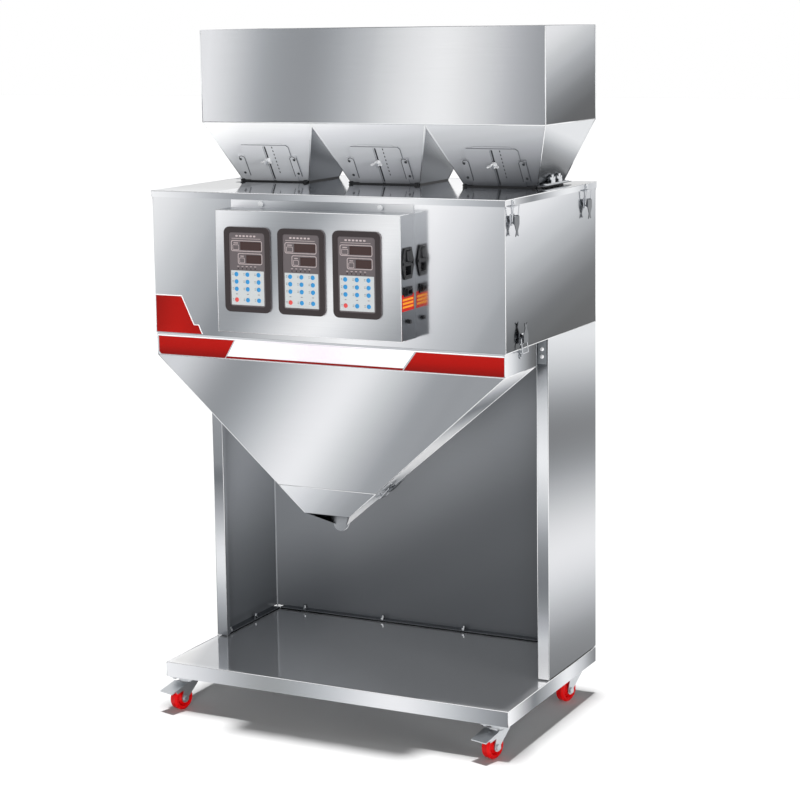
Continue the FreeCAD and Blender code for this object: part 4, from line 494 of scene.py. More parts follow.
def fittings_sheet():
    """The fittings on lid and hopper: bright metal, black seals under the chutes, and guides in the painted
    shade of the chutes that carry them."""
    guides_reach = 0.345
    from_right = beyond((0, 0, 0), (2 * guides_reach, 0, 0))
    from_left = beyond((0, 0, 0), (-2 * guides_reach, 0, 0))
    outer = either(from_right, from_left)

    def inner(tree):
        return add_node(tree, "ShaderNodeMath", {0: 1.0, 1: outer(tree)}, operation="SUBTRACT").outputs[0]

    guides = both(inner, towards(FRONT))
    over_seals, under_chutes = beside_level(CHUTE_Z, 0.5)
    over_lid, under_lid = beside_level(LID_TOP - 0.3, 0.5)
    seals = both(beyond(over_seals, under_chutes), beyond(under_lid, over_lid))
    return brushed_sheet("polished_steel_fittings", "D4D6D9", roughness=0.18, streaks=0.02,
                         dull=(guides, 0.0), faces=(
        (guides, *CHUTE_FRONT_WAY, CHUTE_FRONT_SHADES),
        (seals, (0, 0, 0), (0, 0, 1), ((0.0, "151618"), (1.0, "151618"))),
    ))


FORMED_SHEETS = {"storage_hopper": hopper_sheet, "housing_shell": housing_sheet, "lid_cover": lid_sheet,
                 "collecting_funnel": funnel_sheet, "outlet_nozzle": nozzle_sheet,
                 "stand_side_panels": side_panel_sheet, "stand_back_panel": back_panel_sheet,
                 "base_tray": tray_sheet, "control_box": box_sheet, "hopper_fittings": fittings_sheet}


# Finishes of the small parts. The other is a second shade and the mask of the places that have it.

def grain_over(tree, colour, grain_mm, detail, other):
    """The colour, with its second shade where there is one, and an even grain of a size."""
    if other:
        shade, where = other
        colour = add_node(tree, "ShaderNodeMix", {0: where(tree), 6: colour, 7: linear(shade)},
                          data_type="RGBA").outputs[2]
    grain = add_node(tree, "ShaderNodeTexNoise",
                     {"Vector": place_on_piece(tree), "Scale": 1 / (grain_mm * MM), "Detail": detail})
    return colour, grain.outputs[0]


def grained_metal(name, shade, roughness, grain_mm, bump, variation=0.12, other=None, metallic=1.0):
    """Metal with an even grain: zinc plate, castings, turned bars."""
    finish, tree, shader = new_finish(name, shade, metallic=metallic, roughness=roughness)
    colour, grain = grain_over(tree, linear(shade), grain_mm, 3.0, other)
    patterned(tree, shader, colour, grain, variation, bump, 0.3, gloss=(roughness, 0.08))
    return finish


def moulded_plastic(name, shade, roughness=0.42, grain_mm=1.2, bump=0.12, spread=0.1, other=None,
                    sheen=0.35):
    """Moulded plastic or rubber: a soft sheen over a fine spark grain."""
    finish, tree, shader = new_finish(name, shade, roughness=roughness, Specular_IOR_Level=sheen)
    colour, grain = grain_over(tree, linear(shade), grain_mm, 2.0, other)
    patterned(tree, shader, colour, grain, spread, bump, 0.2)
    return finish


def painted_film(name, shade, drift=None):
    """Printed vinyl film: a smooth coat. The drift is (start, end, stops), where its colour changes a
    little from end to end."""
    finish, tree, shader = new_finish(name, shade, roughness=0.3, Specular_IOR_Level=0.1)
    colour = bands(tree, *drift) if drift else linear(shade)
    fibre = add_node(tree, "ShaderNodeTexNoise",
                     {"Vector": place_on_piece(tree), "Scale": 260.0, "Detail": 2.0})
    patterned(tree, shader, colour, fibre.outputs[0], 0.05, 0.03, 0.1)
    return finish


def dress(node, finish):
    """Gives a piece of the machine its finish."""
    piece = nodes[node]
    if not piece.material_slots:
        piece.data.materials.append(finish)
    for slot in piece.material_slots:
        slot.material = finish


# The stage: a plain pale floor, a white room and soft lamps

FLOOR_HALF = 30.0
ROOM_LIGHT = 0.12
MACHINE_MIDDLE = (0, 0, 0.8)


def make_floor():
    """A matt pale floor that fills the view."""
    mesh = bpy.data.meshes.new("floor")
    mesh.from_pydata([(-FLOOR_HALF, -FLOOR_HALF, 0), (FLOOR_HALF, -FLOOR_HALF, 0),
                      (FLOOR_HALF, FLOOR_HALF, 0), (-FLOOR_HALF, FLOOR_HALF, 0)], [], [(0, 1, 2, 3)])
    floor = bpy.data.objects.new("floor", mesh)
    bpy.context.scene.collection.objects.link(floor)
    finish = new_finish("matt_white_floor", "E0E0E0", roughness=0.9, Specular_IOR_Level=0.0)[0]
    mesh.materials.append(finish)


def make_room():
    """A white room: at full strength where it is seen or mirrored, and a dim light on matt surfaces."""
    room = bpy.data.worlds.new("studio")
    bpy.context.scene.world = room
    room.use_nodes = True
    tree = room.node_tree
    rays = add_node(tree, "ShaderNodeLightPath").outputs
    seen = add_node(tree, "ShaderNodeMath", {0: rays["Is Camera Ray"], 1: rays["Is Glossy Ray"]},
                    operation="MAXIMUM")
    clear = add_node(tree, "ShaderNodeMath", {0: seen.outputs[0], 1: rays["Is Transmission Ray"]},
                     operation="MAXIMUM")
    level = add_node(tree, "ShaderNodeMapRange",
                     {"Value": clear.outputs[0], "To Min": ROOM_LIGHT, "To Max": 1.0})
    backdrop = tree.nodes["Background"]
    backdrop.inputs["Color"].default_value = (1, 1, 1, 1)
    tree.links.new(level.outputs[0], backdrop.inputs["Strength"])


def lamp(name, place, aim, spread, power):
    """A far soft lamp: its light comes from a place towards an aim, spread over some degrees."""
    data = bpy.data.lights.new(name, "SUN")
    data.angle = math.radians(spread)
    data.energy = power
    obj = bpy.data.objects.new(name, data)
    bpy.context.scene.collection.objects.link(obj)
    way = Vector(aim) - Vector(place)
    obj.matrix_world = Matrix.Translation(place) @ way.to_track_quat("-Z", "Y").to_matrix().to_4x4()
    obj.visible_glossy = False


def make_stage():
    bpy.context.scene.view_settings.view_transform = "Standard"
    make_floor()
    make_room()
    lamp("overhead_lamp", (0, 0, 5), (0, 0, 0), spread=4.0, power=3.9)
    lamp("front_lamp", (1.6, -4.5, 1.3), MACHINE_MIDDLE, spread=25.0, power=2.1)
    lamp("side_lamp", (5.0, -1.5, 0.7), MACHINE_MIDDLE, spread=25.0, power=2.6)


# Mesh code. Its places are in millimetres, and a shape lies on the machine's front unless the place
# function says otherwise: it turns across, out and up into a point of the machine.

def new_piece(name, mesh, finish, body, smooth=False):
    """A piece made from a bmesh: it rides on a body of the machine."""
    data = bpy.data.meshes.new(name)
    bmesh.ops.recalc_face_normals(mesh, faces=mesh.faces)
    mesh.to_mesh(data)
    mesh.free()
    for face in data.polygons:
        face.use_smooth = smooth
    data.materials.append(finish)
    piece = bpy.data.objects.new(name, data)
    bpy.context.scene.collection.objects.link(piece)
    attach(piece, body)


def on_front(across, out, up):
    return (across, -out, up)


def on_box_side(across, out, up):
    """A point on the box's right side: across runs from the front to the back."""
    return (BOX_RIGHT + out, BOX_Y + across, up)


def join_rings(mesh, rings, closed=True):
    """The walls between rings of equally many points, and the faces that close the two ends."""
    for low, high in zip(rings, rings[1:]):
        for index in range(len(low)):
            after = (index + 1) % len(low)
            mesh.faces.new((low[index], low[after], high[after], high[index]))
    if closed:
        mesh.faces.new(rings[-1])
        mesh.faces.new(rings[0])


def add_bar(mesh, start, end, radius, sides=6):
    """A slim straight bar between two points, closed at its ends."""
    start = Vector(start) * MM
    end = Vector(end) * MM
    across = (end - start).normalized().orthogonal().normalized()
    beside = (end - start).normalized().cross(across)
    rings = []
    for place in (start, end):
        ring = []
        for index in range(sides):
            angle = 2 * math.pi * (index + 0.5) / sides
            out = across * math.cos(angle) + beside * math.sin(angle)
            ring.append(mesh.verts.new(place + out * radius * MM))
        rings.append(ring)
    join_rings(mesh, rings)


def rounded_outline(left, bottom, right, top, radius, steps=4):
    """Corners of an upright rectangle with rounded ends, as (across, up)."""
    outline = []
    for x, z, first in ((right - radius, top - radius, 0), (left + radius, top - radius, 90),
                        (left + radius, bottom + radius, 180), (right - radius, bottom + radius, 270)):
        for index in range(steps + 1):
            angle = math.radians(first + 90 * index / steps)
            outline.append((x + radius * math.cos(angle), z + radius * math.sin(angle)))
    return outline


def add_sheet(mesh, outline, back, thickness, place=on_front, edge=0.3):
    """A thin raised shape with a softened front edge, from an outline of (across, up)."""
    middle = Vector((sum(p[0] for p in outline), sum(p[1] for p in outline))) / len(outline)
    rings = []
    for out, inset in ((back, 0.0), (back + thickness * (1 - edge), 0.0), (back + thickness, thickness)):
        ring = []
        for corner in outline:
            way = middle - Vector(corner)
            way = way.normalized() * inset if way.length > inset else Vector((0, 0))
            ring.append(mesh.verts.new(Vector(place(corner[0] + way.x, out, corner[1] + way.y)) * MM))
        rings.append(ring)
    join_rings(mesh, rings)


def add_frame(mesh, outer, inner, back, thickness):
    """A thin raised frame between two outlines with as many corners."""
    front = back + thickness
    rings = []
    for outline, out in ((outer, back), (outer, front), (inner, front), (inner, back)):
        rings.append([mesh.verts.new(Vector(on_front(x, out, z)) * MM) for x, z in outline])
    join_rings(mesh, rings, closed=False)


def add_dome(mesh, x, z, back, radius, rise, sides=16):
    """A low dome: a straight foot, a round shoulder and a nearly flat top."""
    rings = []
    for part, out in ((1.0, 0.0), (0.97, 0.45), (0.82, 0.8), (0.5, 0.96)):
        ring = []
        for index in range(sides):
            angle = 2 * math.pi * index / sides
            place = on_front(x + radius * part * math.cos(angle), back + rise * out,
                             z + radius * part * math.sin(angle))
            ring.append(mesh.verts.new(Vector(place) * MM))
        rings.append(ring)
    join_rings(mesh, rings)


# Fold highlights: a slim bright bar along the outer edge of each fold, a painted highlight along its whole
# length

def fold_edges(name, runs, finish, body, radius):
    mesh = bmesh.new()
    for start, end in runs:
        add_bar(mesh, start, end, radius)
    new_piece(name, mesh, finish, body, smooth=True)


def mirrored(runs):
    """Runs on the right side, and the same on the left."""
    return runs + [((-a[0], a[1], a[2]), (-b[0], b[1], b[2])) for a, b in runs]


def make_stand_edges(finish):
    post_inside = SIDE_X - POST_WIDTH
    post_top = HOUSING_Z - 4
    fold_edges("stand_fold_edges", mirrored([
        ((SIDE_X, FRONT_Y, TRAY_TOP), (SIDE_X, REAR_Y, TRAY_TOP)),
        ((SIDE_X, FRONT_Y, TRAY_BASE + 1), (SIDE_X, FRONT_Y, TRAY_TOP)),
        ((SIDE_X, POST_Y, TRAY_TOP), (SIDE_X, POST_Y, post_top)),
        ((post_inside, POST_Y, TRAY_TOP), (post_inside, POST_Y, post_top)),
        ((SIDE_X, FRONT_Y, HOUSING_Z), (SIDE_X, FRONT_Y, LID_Z)),
        ((SIDE_X, REAR_Y, HOUSING_Z), (SIDE_X, REAR_Y, LID_Z)),
        ((SIDE_X, FRONT_Y, HOUSING_Z), (SIDE_X, REAR_Y, HOUSING_Z)),
    ]) + [
        ((-SIDE_X, FRONT_Y, TRAY_TOP), (SIDE_X, FRONT_Y, TRAY_TOP)),
        ((-SIDE_X, REAR_Y, TRAY_TOP), (SIDE_X, REAR_Y, TRAY_TOP)),
        ((-SIDE_X, REAR_Y, HOUSING_Z), (SIDE_X, REAR_Y, HOUSING_Z)),
    ], finish, "machine", 0.8)
    seam_x = SIDE_X - 3.4
    seam_y = REAR_Y - 3.4
    seam = grained_metal("rolled_stainless_seam", "A8ABAF", 0.3, 6.0, 0.01, variation=0.03, metallic=0.0)
    fold_edges("stand_corner_seams", mirrored([
        ((seam_x, seam_y, TRAY_TOP + 1), (seam_x, seam_y, HOUSING_Z - 6)),
    ]), seam, "machine", 1.7)


def make_box_edges(finish):
    joint_y = FRONT_Y - 1
    fold_edges("box_fold_edges", [
        ((BOX_LEFT, BOX_Y, BOX_Z), (BOX_LEFT, BOX_Y, BOX_TOP)),
        ((BOX_RIGHT, BOX_Y, BOX_Z), (BOX_RIGHT, BOX_Y, BOX_TOP)),
        ((BOX_LEFT, BOX_Y, BOX_TOP), (BOX_RIGHT, BOX_Y, BOX_TOP)),
        ((BOX_LEFT, BOX_Y, BOX_Z), (BOX_RIGHT, BOX_Y, BOX_Z)),
        ((BOX_RIGHT, BOX_Y, BOX_Z), (BOX_RIGHT, joint_y, BOX_Z)),
        ((BOX_RIGHT, BOX_Y, BOX_TOP), (BOX_RIGHT, joint_y, BOX_TOP)),
    ], finish, "machine", 0.8)


def make_hopper_edges(finish):
    chutes = []
    for index in (-1, 0, 1):
        for side in (-1, 1):
            head = index * PITCH + side * PITCH / 2
            foot = index * PITCH + side * FOOT_HALF
            chutes.append(((head, BIN_Y, SILL_Z), (foot, CHUTE_Y, CHUTE_Z)))
            chutes.append(((head, REAR_Y, SILL_Z), (foot, CHUTE_REAR_Y, CHUTE_Z)))
    fold_edges("chute_fold_edges", chutes, finish, "hopper", 0.9)
    fold_edges("bin_fold_edges", mirrored([
        ((SIDE_X, BIN_Y, SILL_Z), (SIDE_X, REAR_Y, SILL_Z)),
        ((SIDE_X, BIN_Y, SILL_Z), (SIDE_X, BIN_Y, RIM_Z - 1)),
        ((SIDE_X, REAR_Y, SILL_Z), (SIDE_X, REAR_Y, RIM_Z - 1)),
    ]) + [
        ((-SIDE_X, BIN_Y, SILL_Z), (SIDE_X, BIN_Y, SILL_Z)),
        ((-SIDE_X, REAR_Y, SILL_Z), (SIDE_X, REAR_Y, SILL_Z)),
    ], finish, "hopper", 1.3)


def make_lid_edges(finish):
    fold = LID_TOP - 0.5
    fold_edges("lid_fold_edges", mirrored([
        ((LID_SIDE, LID_FRONT, fold), (LID_SIDE, LID_REAR, fold)),
        ((LID_SIDE, LID_FRONT, LID_Z + 1), (LID_SIDE, LID_FRONT, fold)),
    ]) + [
        ((-LID_SIDE, LID_FRONT, fold), (LID_SIDE, LID_FRONT, fold)),
        ((-LID_SIDE, LID_REAR, fold), (LID_SIDE, LID_REAR, fold)),
    ], finish, "hopper", 0.9)


def make_funnel_edges(finish):
    fold_edges("funnel_fold_edges", mirrored([
        ((COLLAR_X, FRONT_Y, COLLAR_Z), (COLLAR_X, COLLAR_REAR_Y, COLLAR_Z)),
        ((COLLAR_X, FRONT_Y, COLLAR_Z), (COLLAR_X, FRONT_Y, HOUSING_Z - 1)),
        ((COLLAR_X, FRONT_Y, COLLAR_Z), (SEAM_X, FRONT_Y, SEAM_Z)),
        ((COLLAR_X, COLLAR_REAR_Y, COLLAR_Z), (SEAM_X, SEAM_Y, SEAM_Z)),
    ]) + [
        ((-COLLAR_X, FRONT_Y, COLLAR_Z), (COLLAR_X, FRONT_Y, COLLAR_Z)),
    ], finish, "funnel", 0.8)
    nozzle_top = SEAM_Z - 1
    fold_edges("nozzle_fold_edges", mirrored([
        ((SEAM_X, FRONT_Y, nozzle_top), (OUTLET_X, FRONT_Y, OUTLET_Z)),
    ]) + [
        ((-SEAM_X, FRONT_Y, nozzle_top), (SEAM_X, FRONT_Y, nozzle_top)),
    ], finish, "nozzle", 0.7)


# The three indicator panels. A box on a panel is (left, top, right, bottom) from its top left corner.

bezel_low, bezel_high = box_mm("panel_bezels")
film_low, film_high = box_mm("keypad_membranes")
PANEL_LEFT = bezel_low.x
PANEL_TOP = bezel_high.z
PANEL_PITCH = 121
FACE_OUT = -film_high.y
FILM_OUT = -film_low.y
DIGIT_OUT = FACE_OUT + 0.55
SUNK = 0.05
INK = 0.15
SYMBOL_FRAMES = ((19, 35, 33.5, 45.5), (34, 60.5, 46, 71))
WINDOW_FRAMES = ((15.5, 26.5, 85.5, 48.0), (30.5, 51.5, 85.5, 73.5))
WINDOWS = (((37, 29, 83, 45), 4), ((50, 55, 83, 71), 3))
HEAD_LINE = (17, 22.4, 82, 23.2)
HEAD_MARKS = (6, 26, 8.0, 5.2, 16.2, 19.4)
LAMP_MARKS = (5, 28.5, 9.6, 4.5, 77, 78.3)
LAMP_DROP = 82.2
KEY_COLUMNS = (26.5, 51.5, 76.5)
KEY_ROWS = (93.5, 108.0, 122.5, 144.0)
KEY_RADIUS = 4.6
DIGIT_HEIGHT = 9.6
DIGIT_BAR = 1.1


def panel_outline(index, box, radius):
    """A rounded outline on one indicator panel."""
    left = PANEL_LEFT + index * PANEL_PITCH
    return rounded_outline(left + box[0], PANEL_TOP - box[3], left + box[2], PANEL_TOP - box[1], radius)


def add_panel_frame(mesh, index, box, width, radius, inner_radius, thickness):
    """A printed frame of a line width round a box on a panel."""
    inner = (box[0] + width, box[1] + width, box[2] - width, box[3] - width)
    add_frame(mesh, panel_outline(index, box, radius), panel_outline(index, inner, inner_radius),
              FACE_OUT - SUNK, thickness)


def row_of_boxes(row):
    """Boxes side by side, from (count, left, pitch, width, top, bottom)."""
    count, left, pitch, width, top, bottom = row
    return [(left + number * pitch, top, left + number * pitch + width, bottom) for number in range(count)]


def print_face(mesh, lights, index):
    """The pale print on one panel's face, and the small lamps in their row."""
    back = FACE_OUT - SUNK
    for box in WINDOW_FRAMES:
        add_panel_frame(mesh, index, box, 1.3, 4, 3, 0.2)
    for box in SYMBOL_FRAMES:
        add_panel_frame(mesh, index, box, 0.9, 2, 1.4, INK)
        over = (box[0] + 2, box[1] - 4, box[2] - 2, box[1] - 2.4)
        add_sheet(mesh, panel_outline(index, over, 0.7), back, INK)
    add_sheet(mesh, panel_outline(index, HEAD_LINE, 0.35), back, INK)
    for box in row_of_boxes(HEAD_MARKS):
        add_sheet(mesh, panel_outline(index, box, 1.2), back, INK)
    for box in row_of_boxes(LAMP_MARKS):
        add_sheet(mesh, panel_outline(index, box, 0.5), back, INK)
        add_dome(lights, PANEL_LEFT + index * PANEL_PITCH + box[0] + 2.2, PANEL_TOP - LAMP_DROP, back,
                 1.3, 0.6, 10)


def add_digit(mesh, left, bottom, width):
    """The seven bars of one unlit display digit."""
    half = DIGIT_BAR / 2
    for z in (bottom + DIGIT_HEIGHT - half, bottom + DIGIT_HEIGHT / 2, bottom + half):
        add_sheet(mesh, [(left + DIGIT_BAR, z - half), (left + width - DIGIT_BAR, z - half),
                         (left + width - DIGIT_BAR, z + half), (left + DIGIT_BAR, z + half)],
                  DIGIT_OUT, 0.12)
    for x in (left, left + width - DIGIT_BAR):
        for z in (bottom + DIGIT_BAR, bottom + DIGIT_HEIGHT / 2 + half):
            top = z + DIGIT_HEIGHT / 2 - 1.5 * DIGIT_BAR
            add_sheet(mesh, [(x, z), (x + DIGIT_BAR, z), (x + DIGIT_BAR, top), (x, top)], DIGIT_OUT, 0.12)


def add_digits(mesh, index):
    """The digits of one panel's two windows."""
    panel_left = PANEL_LEFT + index * PANEL_PITCH
    gap = 3.4
    for window, count in WINDOWS:
        pitch = (window[2] - window[0] - 5) / count
        for digit in range(count):
            add_digit(mesh, panel_left + window[0] + gap + digit * pitch, PANEL_TOP - window[3] + 3.2,
                      pitch - gap)


def add_keys(blue, red, marks, index):
    """The raised keys of one panel's film, and the small grey marks beside and below them."""
    back = FILM_OUT - SUNK
    for row, drop in enumerate(KEY_ROWS):
        for column, across in enumerate(KEY_COLUMNS):
            mesh = red if row == 3 and column == 0 else blue
            add_dome(mesh, PANEL_LEFT + index * PANEL_PITCH + across, PANEL_TOP - drop, back, KEY_RADIUS, 0.9)
            for rise in (1.6, -1.2):
                beside = (across - 9.6, drop - rise - 0.7, across - 6.4, drop - rise + 0.3)
                add_sheet(marks, panel_outline(index, beside, 0.4), back, 0.1)
            if row == 2:
                below = (across - 2.2, drop + 9.4, across + 2.2, drop + 10.8)
                add_sheet(marks, panel_outline(index, below, 0.5), back, 0.1)


def make_panel_marks():
    """Frames and marks printed on the three panels, their display digits and their keys."""
    pale, lights, digits, grey, blue, red = [bmesh.new() for _ in range(6)]
    for index in range(3):
        print_face(pale, lights, index)
        add_digits(digits, index)
        add_keys(blue, red, grey, index)
    pale_ink = moulded_plastic("screen_print_pale", "B7AAAA", roughness=0.5, bump=0.02)
    new_piece("panel_print", pale, pale_ink, "machine")
    epoxy = moulded_plastic("cast_epoxy_lamp_unlit", "241A1B", roughness=0.18, bump=0.02)
    new_piece("panel_lights", lights, epoxy, "machine", smooth=True)
    segment = moulded_plastic("display_segment_unlit", "5A4242", roughness=0.25, bump=0.02)
    new_piece("display_digits", digits, segment, "machine")
    grey_ink = moulded_plastic("screen_print_grey", "6A6C70", roughness=0.5, bump=0.02)
    new_piece("keypad_print", grey, grey_ink, "machine")
    blue_key = moulded_plastic("embossed_polyester_blue", "2D86BE", roughness=0.3, bump=0.03)
    new_piece("keypad_keys_blue", blue, blue_key, "machine", smooth=True)
    red_key = moulded_plastic("embossed_polyester_red", "CE4A48", roughness=0.3, bump=0.03)
    new_piece("keypad_keys_red", red, red_key, "machine", smooth=True)


# Bare coloured films: the band on the collar, a corner patch and a small patch on the box

FILM_BACK = -FRONT_Y - 0.02
FILM_THICKNESS = 0.25
BAND_LOW = COLLAR_Z + 1.5
BAND_TOP = 794
PATCH_LOW = 802.5


def make_collar_band(white):
    """A red band with slanting inner ends, a white field between them and a white line on top."""
    # The red darkens towards the bottom of the band: painted shade.
    red = painted_film("printed_vinyl_red", "B01008", (
        (0, 0, 0.794), (0, 0, 0.757), ((0.0, "A6110A"), (0.55, "9C0E08"), (1.0, "7C0A06"))))
    stripe = BAND_LOW + 4
    line = BAND_TOP + 0.6
    band = bmesh.new()
    for outline in (
            [(-385, BAND_LOW + 5), (-380, BAND_LOW), (-228, BAND_LOW), (-206, BAND_TOP), (-385, BAND_TOP)],
            [(174, BAND_LOW), (386.5, BAND_LOW), (386.5, BAND_TOP), (202, BAND_TOP)],
            [(-226, BAND_LOW), (172, BAND_LOW), (174, stripe), (-224, stripe)]):
        add_sheet(band, outline, FILM_BACK, FILM_THICKNESS)
    new_piece("collar_band_red", band, red, "funnel")
    field = bmesh.new()
    for outline in (
            [(-222, stripe + 0.6), (173, stripe + 0.6), (198, BAND_TOP), (-203, BAND_TOP)],
            [(-387, line), (387, line), (387, line + 1.8), (-387, line + 1.8)]):
        add_sheet(field, outline, FILM_BACK, FILM_THICKNESS)
    new_piece("collar_band_white", field, white, "funnel")


def make_corner_patch(white):
    """A stepped red patch in the housing's lower left corner, with a white rim."""
    red = painted_film("printed_vinyl_corner", "B4140C", (
        (-0.39, 0, 0.85), (-0.28, 0, 0.82), ((0.0, "8E0E08"), (0.5, "A8120B"), (1.0, "980E08"))))
    steps = [(-281, PATCH_LOW), (-289, 820), (-300, 820), (-328, 878), (-389, 878)]
    patch = bmesh.new()
    add_sheet(patch, [(-389, PATCH_LOW)] + steps, FILM_BACK, FILM_THICKNESS)
    new_piece("housing_corner_patch", patch, red, "machine")
    rim = [(-279, PATCH_LOW), (-287.5, 821.5), (-298.5, 821.5), (-326.5, 880), (-389, 880)]
    trim = bmesh.new()
    add_sheet(trim, steps[:1] + rim + steps[:0:-1], FILM_BACK, 0.2)
    new_piece("housing_corner_trim", trim, white, "machine")


def make_box_patch():
    """A red patch with three amber bars on the box's right side."""
    patch = bmesh.new()
    add_sheet(patch, rounded_outline(3, 879, 55, 911, 1.5), -SUNK, 0.3, on_box_side)
    new_piece("box_side_patch", patch, painted_film("printed_vinyl_box", "C0180E"), "machine")
    bars = bmesh.new()
    for level in (885, 892, 899):
        add_sheet(bars, rounded_outline(6, level, 52, level + 4, 0.8), 0.2, INK, on_box_side)
    new_piece("box_side_bars", bars, painted_film("printed_vinyl_amber", "F09A20"), "machine")


def make_films():
    white = painted_film("printed_vinyl_white", "F0EDF0", (
        (-0.21, 0, 0), (0.18, 0, 0), ((0.0, "FBFAFB"), (0.5, "E6DEE6"), (1.0, "FBFAFB"))))
    make_collar_band(white)
    make_corner_patch(white)
    make_box_patch()


# The gates on the chute fronts. Out is measured from the chute's front, up along its slope.

SIDES = ("left", "middle", "right")
LEAN = math.atan2(CHUTE_Y - BIN_Y, SILL_Z - CHUTE_Z)
GATE_HALF = 58.5
GATE_HEIGHT = 92
GATE_BACK = 0.3
GATE_FACE = 2.3
GUIDE_FACE = 4.1
SCREW_FACE = 5.6
GUIDE_LOW = 14
GUIDE_HIGH = 65
GUIDE_END = 70.5
SCREW_RADIUS = 2.9
MARK_COUNT = 8
MARK_PITCH = 9
MARK_TOP = 86
LIP_OUT = -71.8


def on_chute(index):
    """Turns a place on one chute's front, given across, out and up the slope, into the machine's frame."""
    def place(across, out, up):
        return (index * PITCH + across, CHUTE_Y - out * math.cos(LEAN) - up * math.sin(LEAN),
                CHUTE_Z - out * math.sin(LEAN) + up * math.cos(LEAN))
    return place


def add_line(mesh, place, out, corners, radius):
    """A thin raised line through corners on one chute's front, given as (across, up)."""
    for first, second in zip(corners, corners[1:]):
        add_bar(mesh, place(first[0], out, first[1]), place(second[0], out, second[1]), radius)


def mark_guides(mesh, place):
    """Painted shade: a dark strip in the slot, and dark lines along the rims of the two guides and the right
    guide's far edge; and the guides' dark screws.
    """
    # The dark strip in the slot is painted shade, where the slot shows the hopper's inside.
    add_sheet(mesh, rounded_outline(-1.6, 3, 1.6, GATE_HEIGHT - 5, 1.5), -SUNK, 0.2, place)
    for hand in (-1, 1):
        # Dark lines along the guides' rims: painted shade in their creases.
        add_line(mesh, place, GUIDE_FACE, [
            (hand * 54.5, GUIDE_LOW), (hand * 54.5, GUIDE_HIGH - 6), (hand * 56.5, GUIDE_HIGH - 2),
            (hand * 61, GUIDE_HIGH - 0.5), (hand * 66, GUIDE_HIGH - 2), (hand * 68, GUIDE_HIGH - 7)], 0.7)
        across = hand * (GATE_HALF + 6.3)
        for level in (GUIDE_LOW + 8, GUIDE_HIGH - 8):
            screw = rounded_outline(across - SCREW_RADIUS, level - SCREW_RADIUS,
                                    across + SCREW_RADIUS, level + SCREW_RADIUS, SCREW_RADIUS - 0.1)
            add_sheet(mesh, screw, SCREW_FACE - 0.3, 0.6, place)
    add_line(mesh, place, GUIDE_FACE, [(GUIDE_END, GUIDE_LOW), (GUIDE_END, GUIDE_HIGH - 2)], 0.6)


def mark_gate(side, place, dark, soft, plate):
    """What rides on one gate: dark index marks, painted shade for its index holes; dark lines along its right
    and top edges, painted shade; and the finger lip on its top.
    """
    body = "gate_" + side
    marks = bmesh.new()
    for number in range(MARK_COUNT):
        level = MARK_TOP - number * MARK_PITCH
        add_sheet(marks, rounded_outline(17.9, level - 2.3, 20.1, level + 2.3, 0.8), GATE_FACE - SUNK, INK,
                  place)
    new_piece("gate_index_hole_shade_" + side, marks, dark, body)
    edges = bmesh.new()
    add_line(edges, place, GATE_FACE, [
        (GATE_HALF, GUIDE_HIGH), (GATE_HALF, GATE_HEIGHT - 5), (GATE_HALF - 5, GATE_HEIGHT),
        (5 - GATE_HALF, GATE_HEIGHT)], 0.6)
    new_piece("gate_edge_lines_" + side, edges, soft, body)
    lip = bmesh.new()
    add_sheet(lip, [(-42, GATE_HEIGHT - 0.5), (46, GATE_HEIGHT - 0.5), (42, GATE_HEIGHT + 4),
                    (-38, GATE_HEIGHT + 4)], GATE_BACK + 0.2, 1.2, place)
    new_piece("gate_finger_lip_" + side, lip, plate, body)


def add_seal_lip(mesh, middle):
    """The black lip on the lid in front of one chute, with its two thicker ends."""
    add_sheet(mesh, rounded_outline(middle - 79, LID_TOP, middle + 79, LID_TOP + 2.4, 1.1), LIP_OUT, 7.6)
    for end in (middle - 76, middle + 76):
        add_sheet(mesh, rounded_outline(end - 3.5, LID_TOP, end + 3.5, LID_TOP + 5.4, 2.5), LIP_OUT, 7.8)


def make_gate_marks(plate):
    """The painted shade that shows as dark lines at the gates, with the guides' dark screws, and the black
    lips in front of the chutes.
    """
    dark = moulded_plastic("oxide_black_steel_and_painted_shade", "2A2C2F", roughness=0.5, bump=0.02)
    soft = moulded_plastic("shadowed_edge_grey", "606367", roughness=0.5, bump=0.02)
    rubber = moulded_plastic("extruded_rubber_black", "131416", roughness=0.5)
    guides = bmesh.new()
    lips = bmesh.new()
    for number, side in enumerate(SIDES):
        index = number - 1
        place = on_chute(index)
        mark_guides(guides, place)
        mark_gate(side, place, dark, soft, plate)
        add_seal_lip(lips, index * PITCH)
    new_piece("gate_guide_lines", guides, dark, "hopper")
    new_piece("gate_seal_lips", lips, rubber, "hopper")


def make_post_heads(metal):
    """A small grey plate with two pale bolts at the head of each post; the plate's grey is darkened as
    painted shade under the housing.
    """
    front = -POST_Y
    plate_low = 750
    plate_top = 798
    half = 9
    plates = bmesh.new()
    bolts = bmesh.new()
    for middle in (12 - SIDE_X, SIDE_X - 12):
        add_sheet(plates, rounded_outline(middle - half, plate_low, middle + half, plate_top, 1.5),
                  front - SUNK, 1.2)
        for level in (765, 780):
            add_dome(bolts, middle, level, front + 1.1, 4.2, 2.6, 12)
    # The plate's darker grey is painted shade under the housing.
    grey = grained_metal("grey_steel_plate_painted_shade", "7C8084", 0.4, 3.0, 0.05, metallic=0.3)
    new_piece("post_head_plates", plates, grey, "machine")
    new_piece("post_head_bolts", bolts, metal, "machine", smooth=True)


# The machine

STRIP_TOP = 104.6


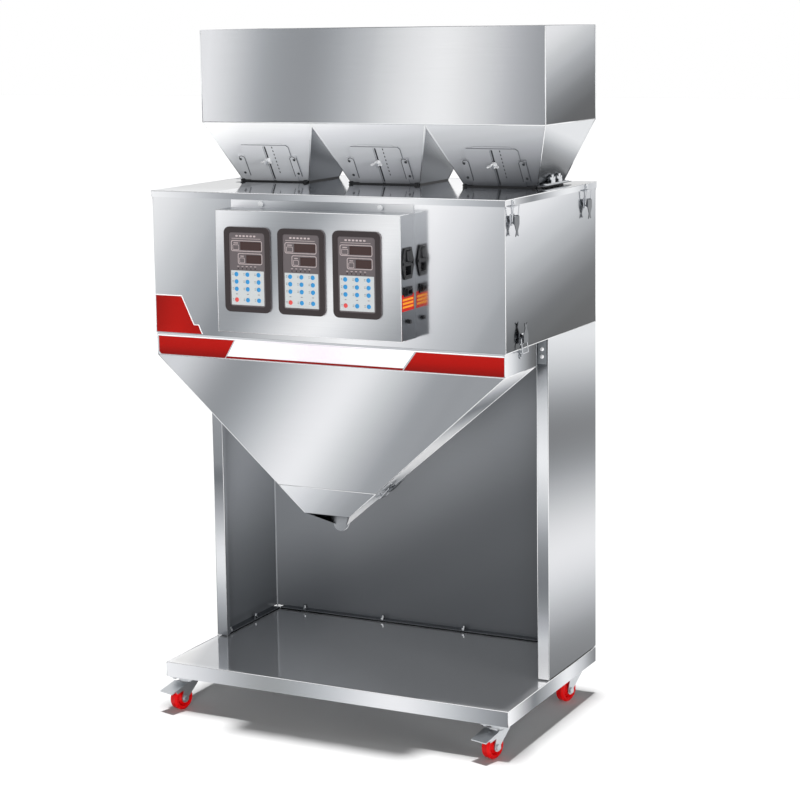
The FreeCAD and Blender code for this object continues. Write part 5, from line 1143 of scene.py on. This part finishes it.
def small_part_finishes():
    """The finishes of the small parts, by the record's material slot."""
    rim = beyond((0, -(FACE_OUT - 0.4) * MM, 0), (0, -(FACE_OUT + 0.8) * MM, 0))
    return {
        "stainless_sheet": brushed_sheet("pickled_stainless_inner", "A6A9AD", roughness=0.34),
        "zinc_steel": grained_metal("zinc_plated_steel", "C6C9CC", 0.34, 3.0, 0.15),
        "bright_steel": grained_metal("polished_steel", "C2C4C8", 0.16, 4.0, 0.04),
        "grey_casting": grained_metal("cast_iron_painted", "74777B", 0.5, 1.5, 0.4),
        "aluminium_block": grained_metal("milled_aluminium", "C8CACC", 0.3, 2.0, 0.08),
        "dark_plastic": moulded_plastic("moulded_abs_bezel", "5C5557", roughness=0.36, spread=0.05,
                                        other=("2A2324", rim)),
        "display_glass": moulded_plastic("smoked_display_lens", "35211F", roughness=0.1, bump=0.01),
        "pale_film": moulded_plastic("printed_polyester_film", "BDC1C2", roughness=0.35, bump=0.02,
                                     spread=0.03),
        "black_plastic": moulded_plastic("moulded_nylon_black", "141517"),
        "red_tyre": moulded_plastic("cast_polyurethane_red", "C4090C", roughness=0.32, bump=0.04,
                                    spread=0.05, sheen=0.15),
    }


def dress_machine():
    """Gives each node its finish: its own where it has one, and else that of its material slot."""
    gate = gate_sheet()
    nickel = grained_metal("nickel_plated_nuts", "F2F3F4", 0.25, 4.0, 0.04, metallic=0.4)
    lever = grained_metal("polished_latch_levers", "6A6D71", 0.22, 4.0, 0.03)
    over_strips, in_strips = beside_level(STRIP_TOP)
    own = {node: make_sheet() for node, make_sheet in FORMED_SHEETS.items()}
    own["stand_fixings"] = grained_metal("turned_steel_and_rubber", "D8DADC", 0.2, 4.0, 0.04,
                                         other=("1E1F21", beyond(over_strips, in_strips)))
    for side in SIDES:
        own["gate_plate_" + side] = gate
        own["gate_wing_nut_" + side] = nickel
    slots = small_part_finishes()
    for row in frame["record"]["subparts"]:
        node = row["node"]
        if "latch_lever" in node:
            own[node] = lever
        dress(node, own.get(node) or slots[row["material_slot"]])
    # A near-white metal for the bars along the folds: a painted highlight.
    edge = grained_metal("painted_highlight_stainless_edge", "F4F5F6", 0.2, 6.0, 0.01, variation=0.03)
    for make_edges in (make_stand_edges, make_box_edges, make_hopper_edges, make_lid_edges,
                       make_funnel_edges):
        make_edges(edge)
    make_panel_marks()
    make_films()
    make_gate_marks(gate)
    make_post_heads(nickel)


place_camera()
make_stage()
dress_machine()
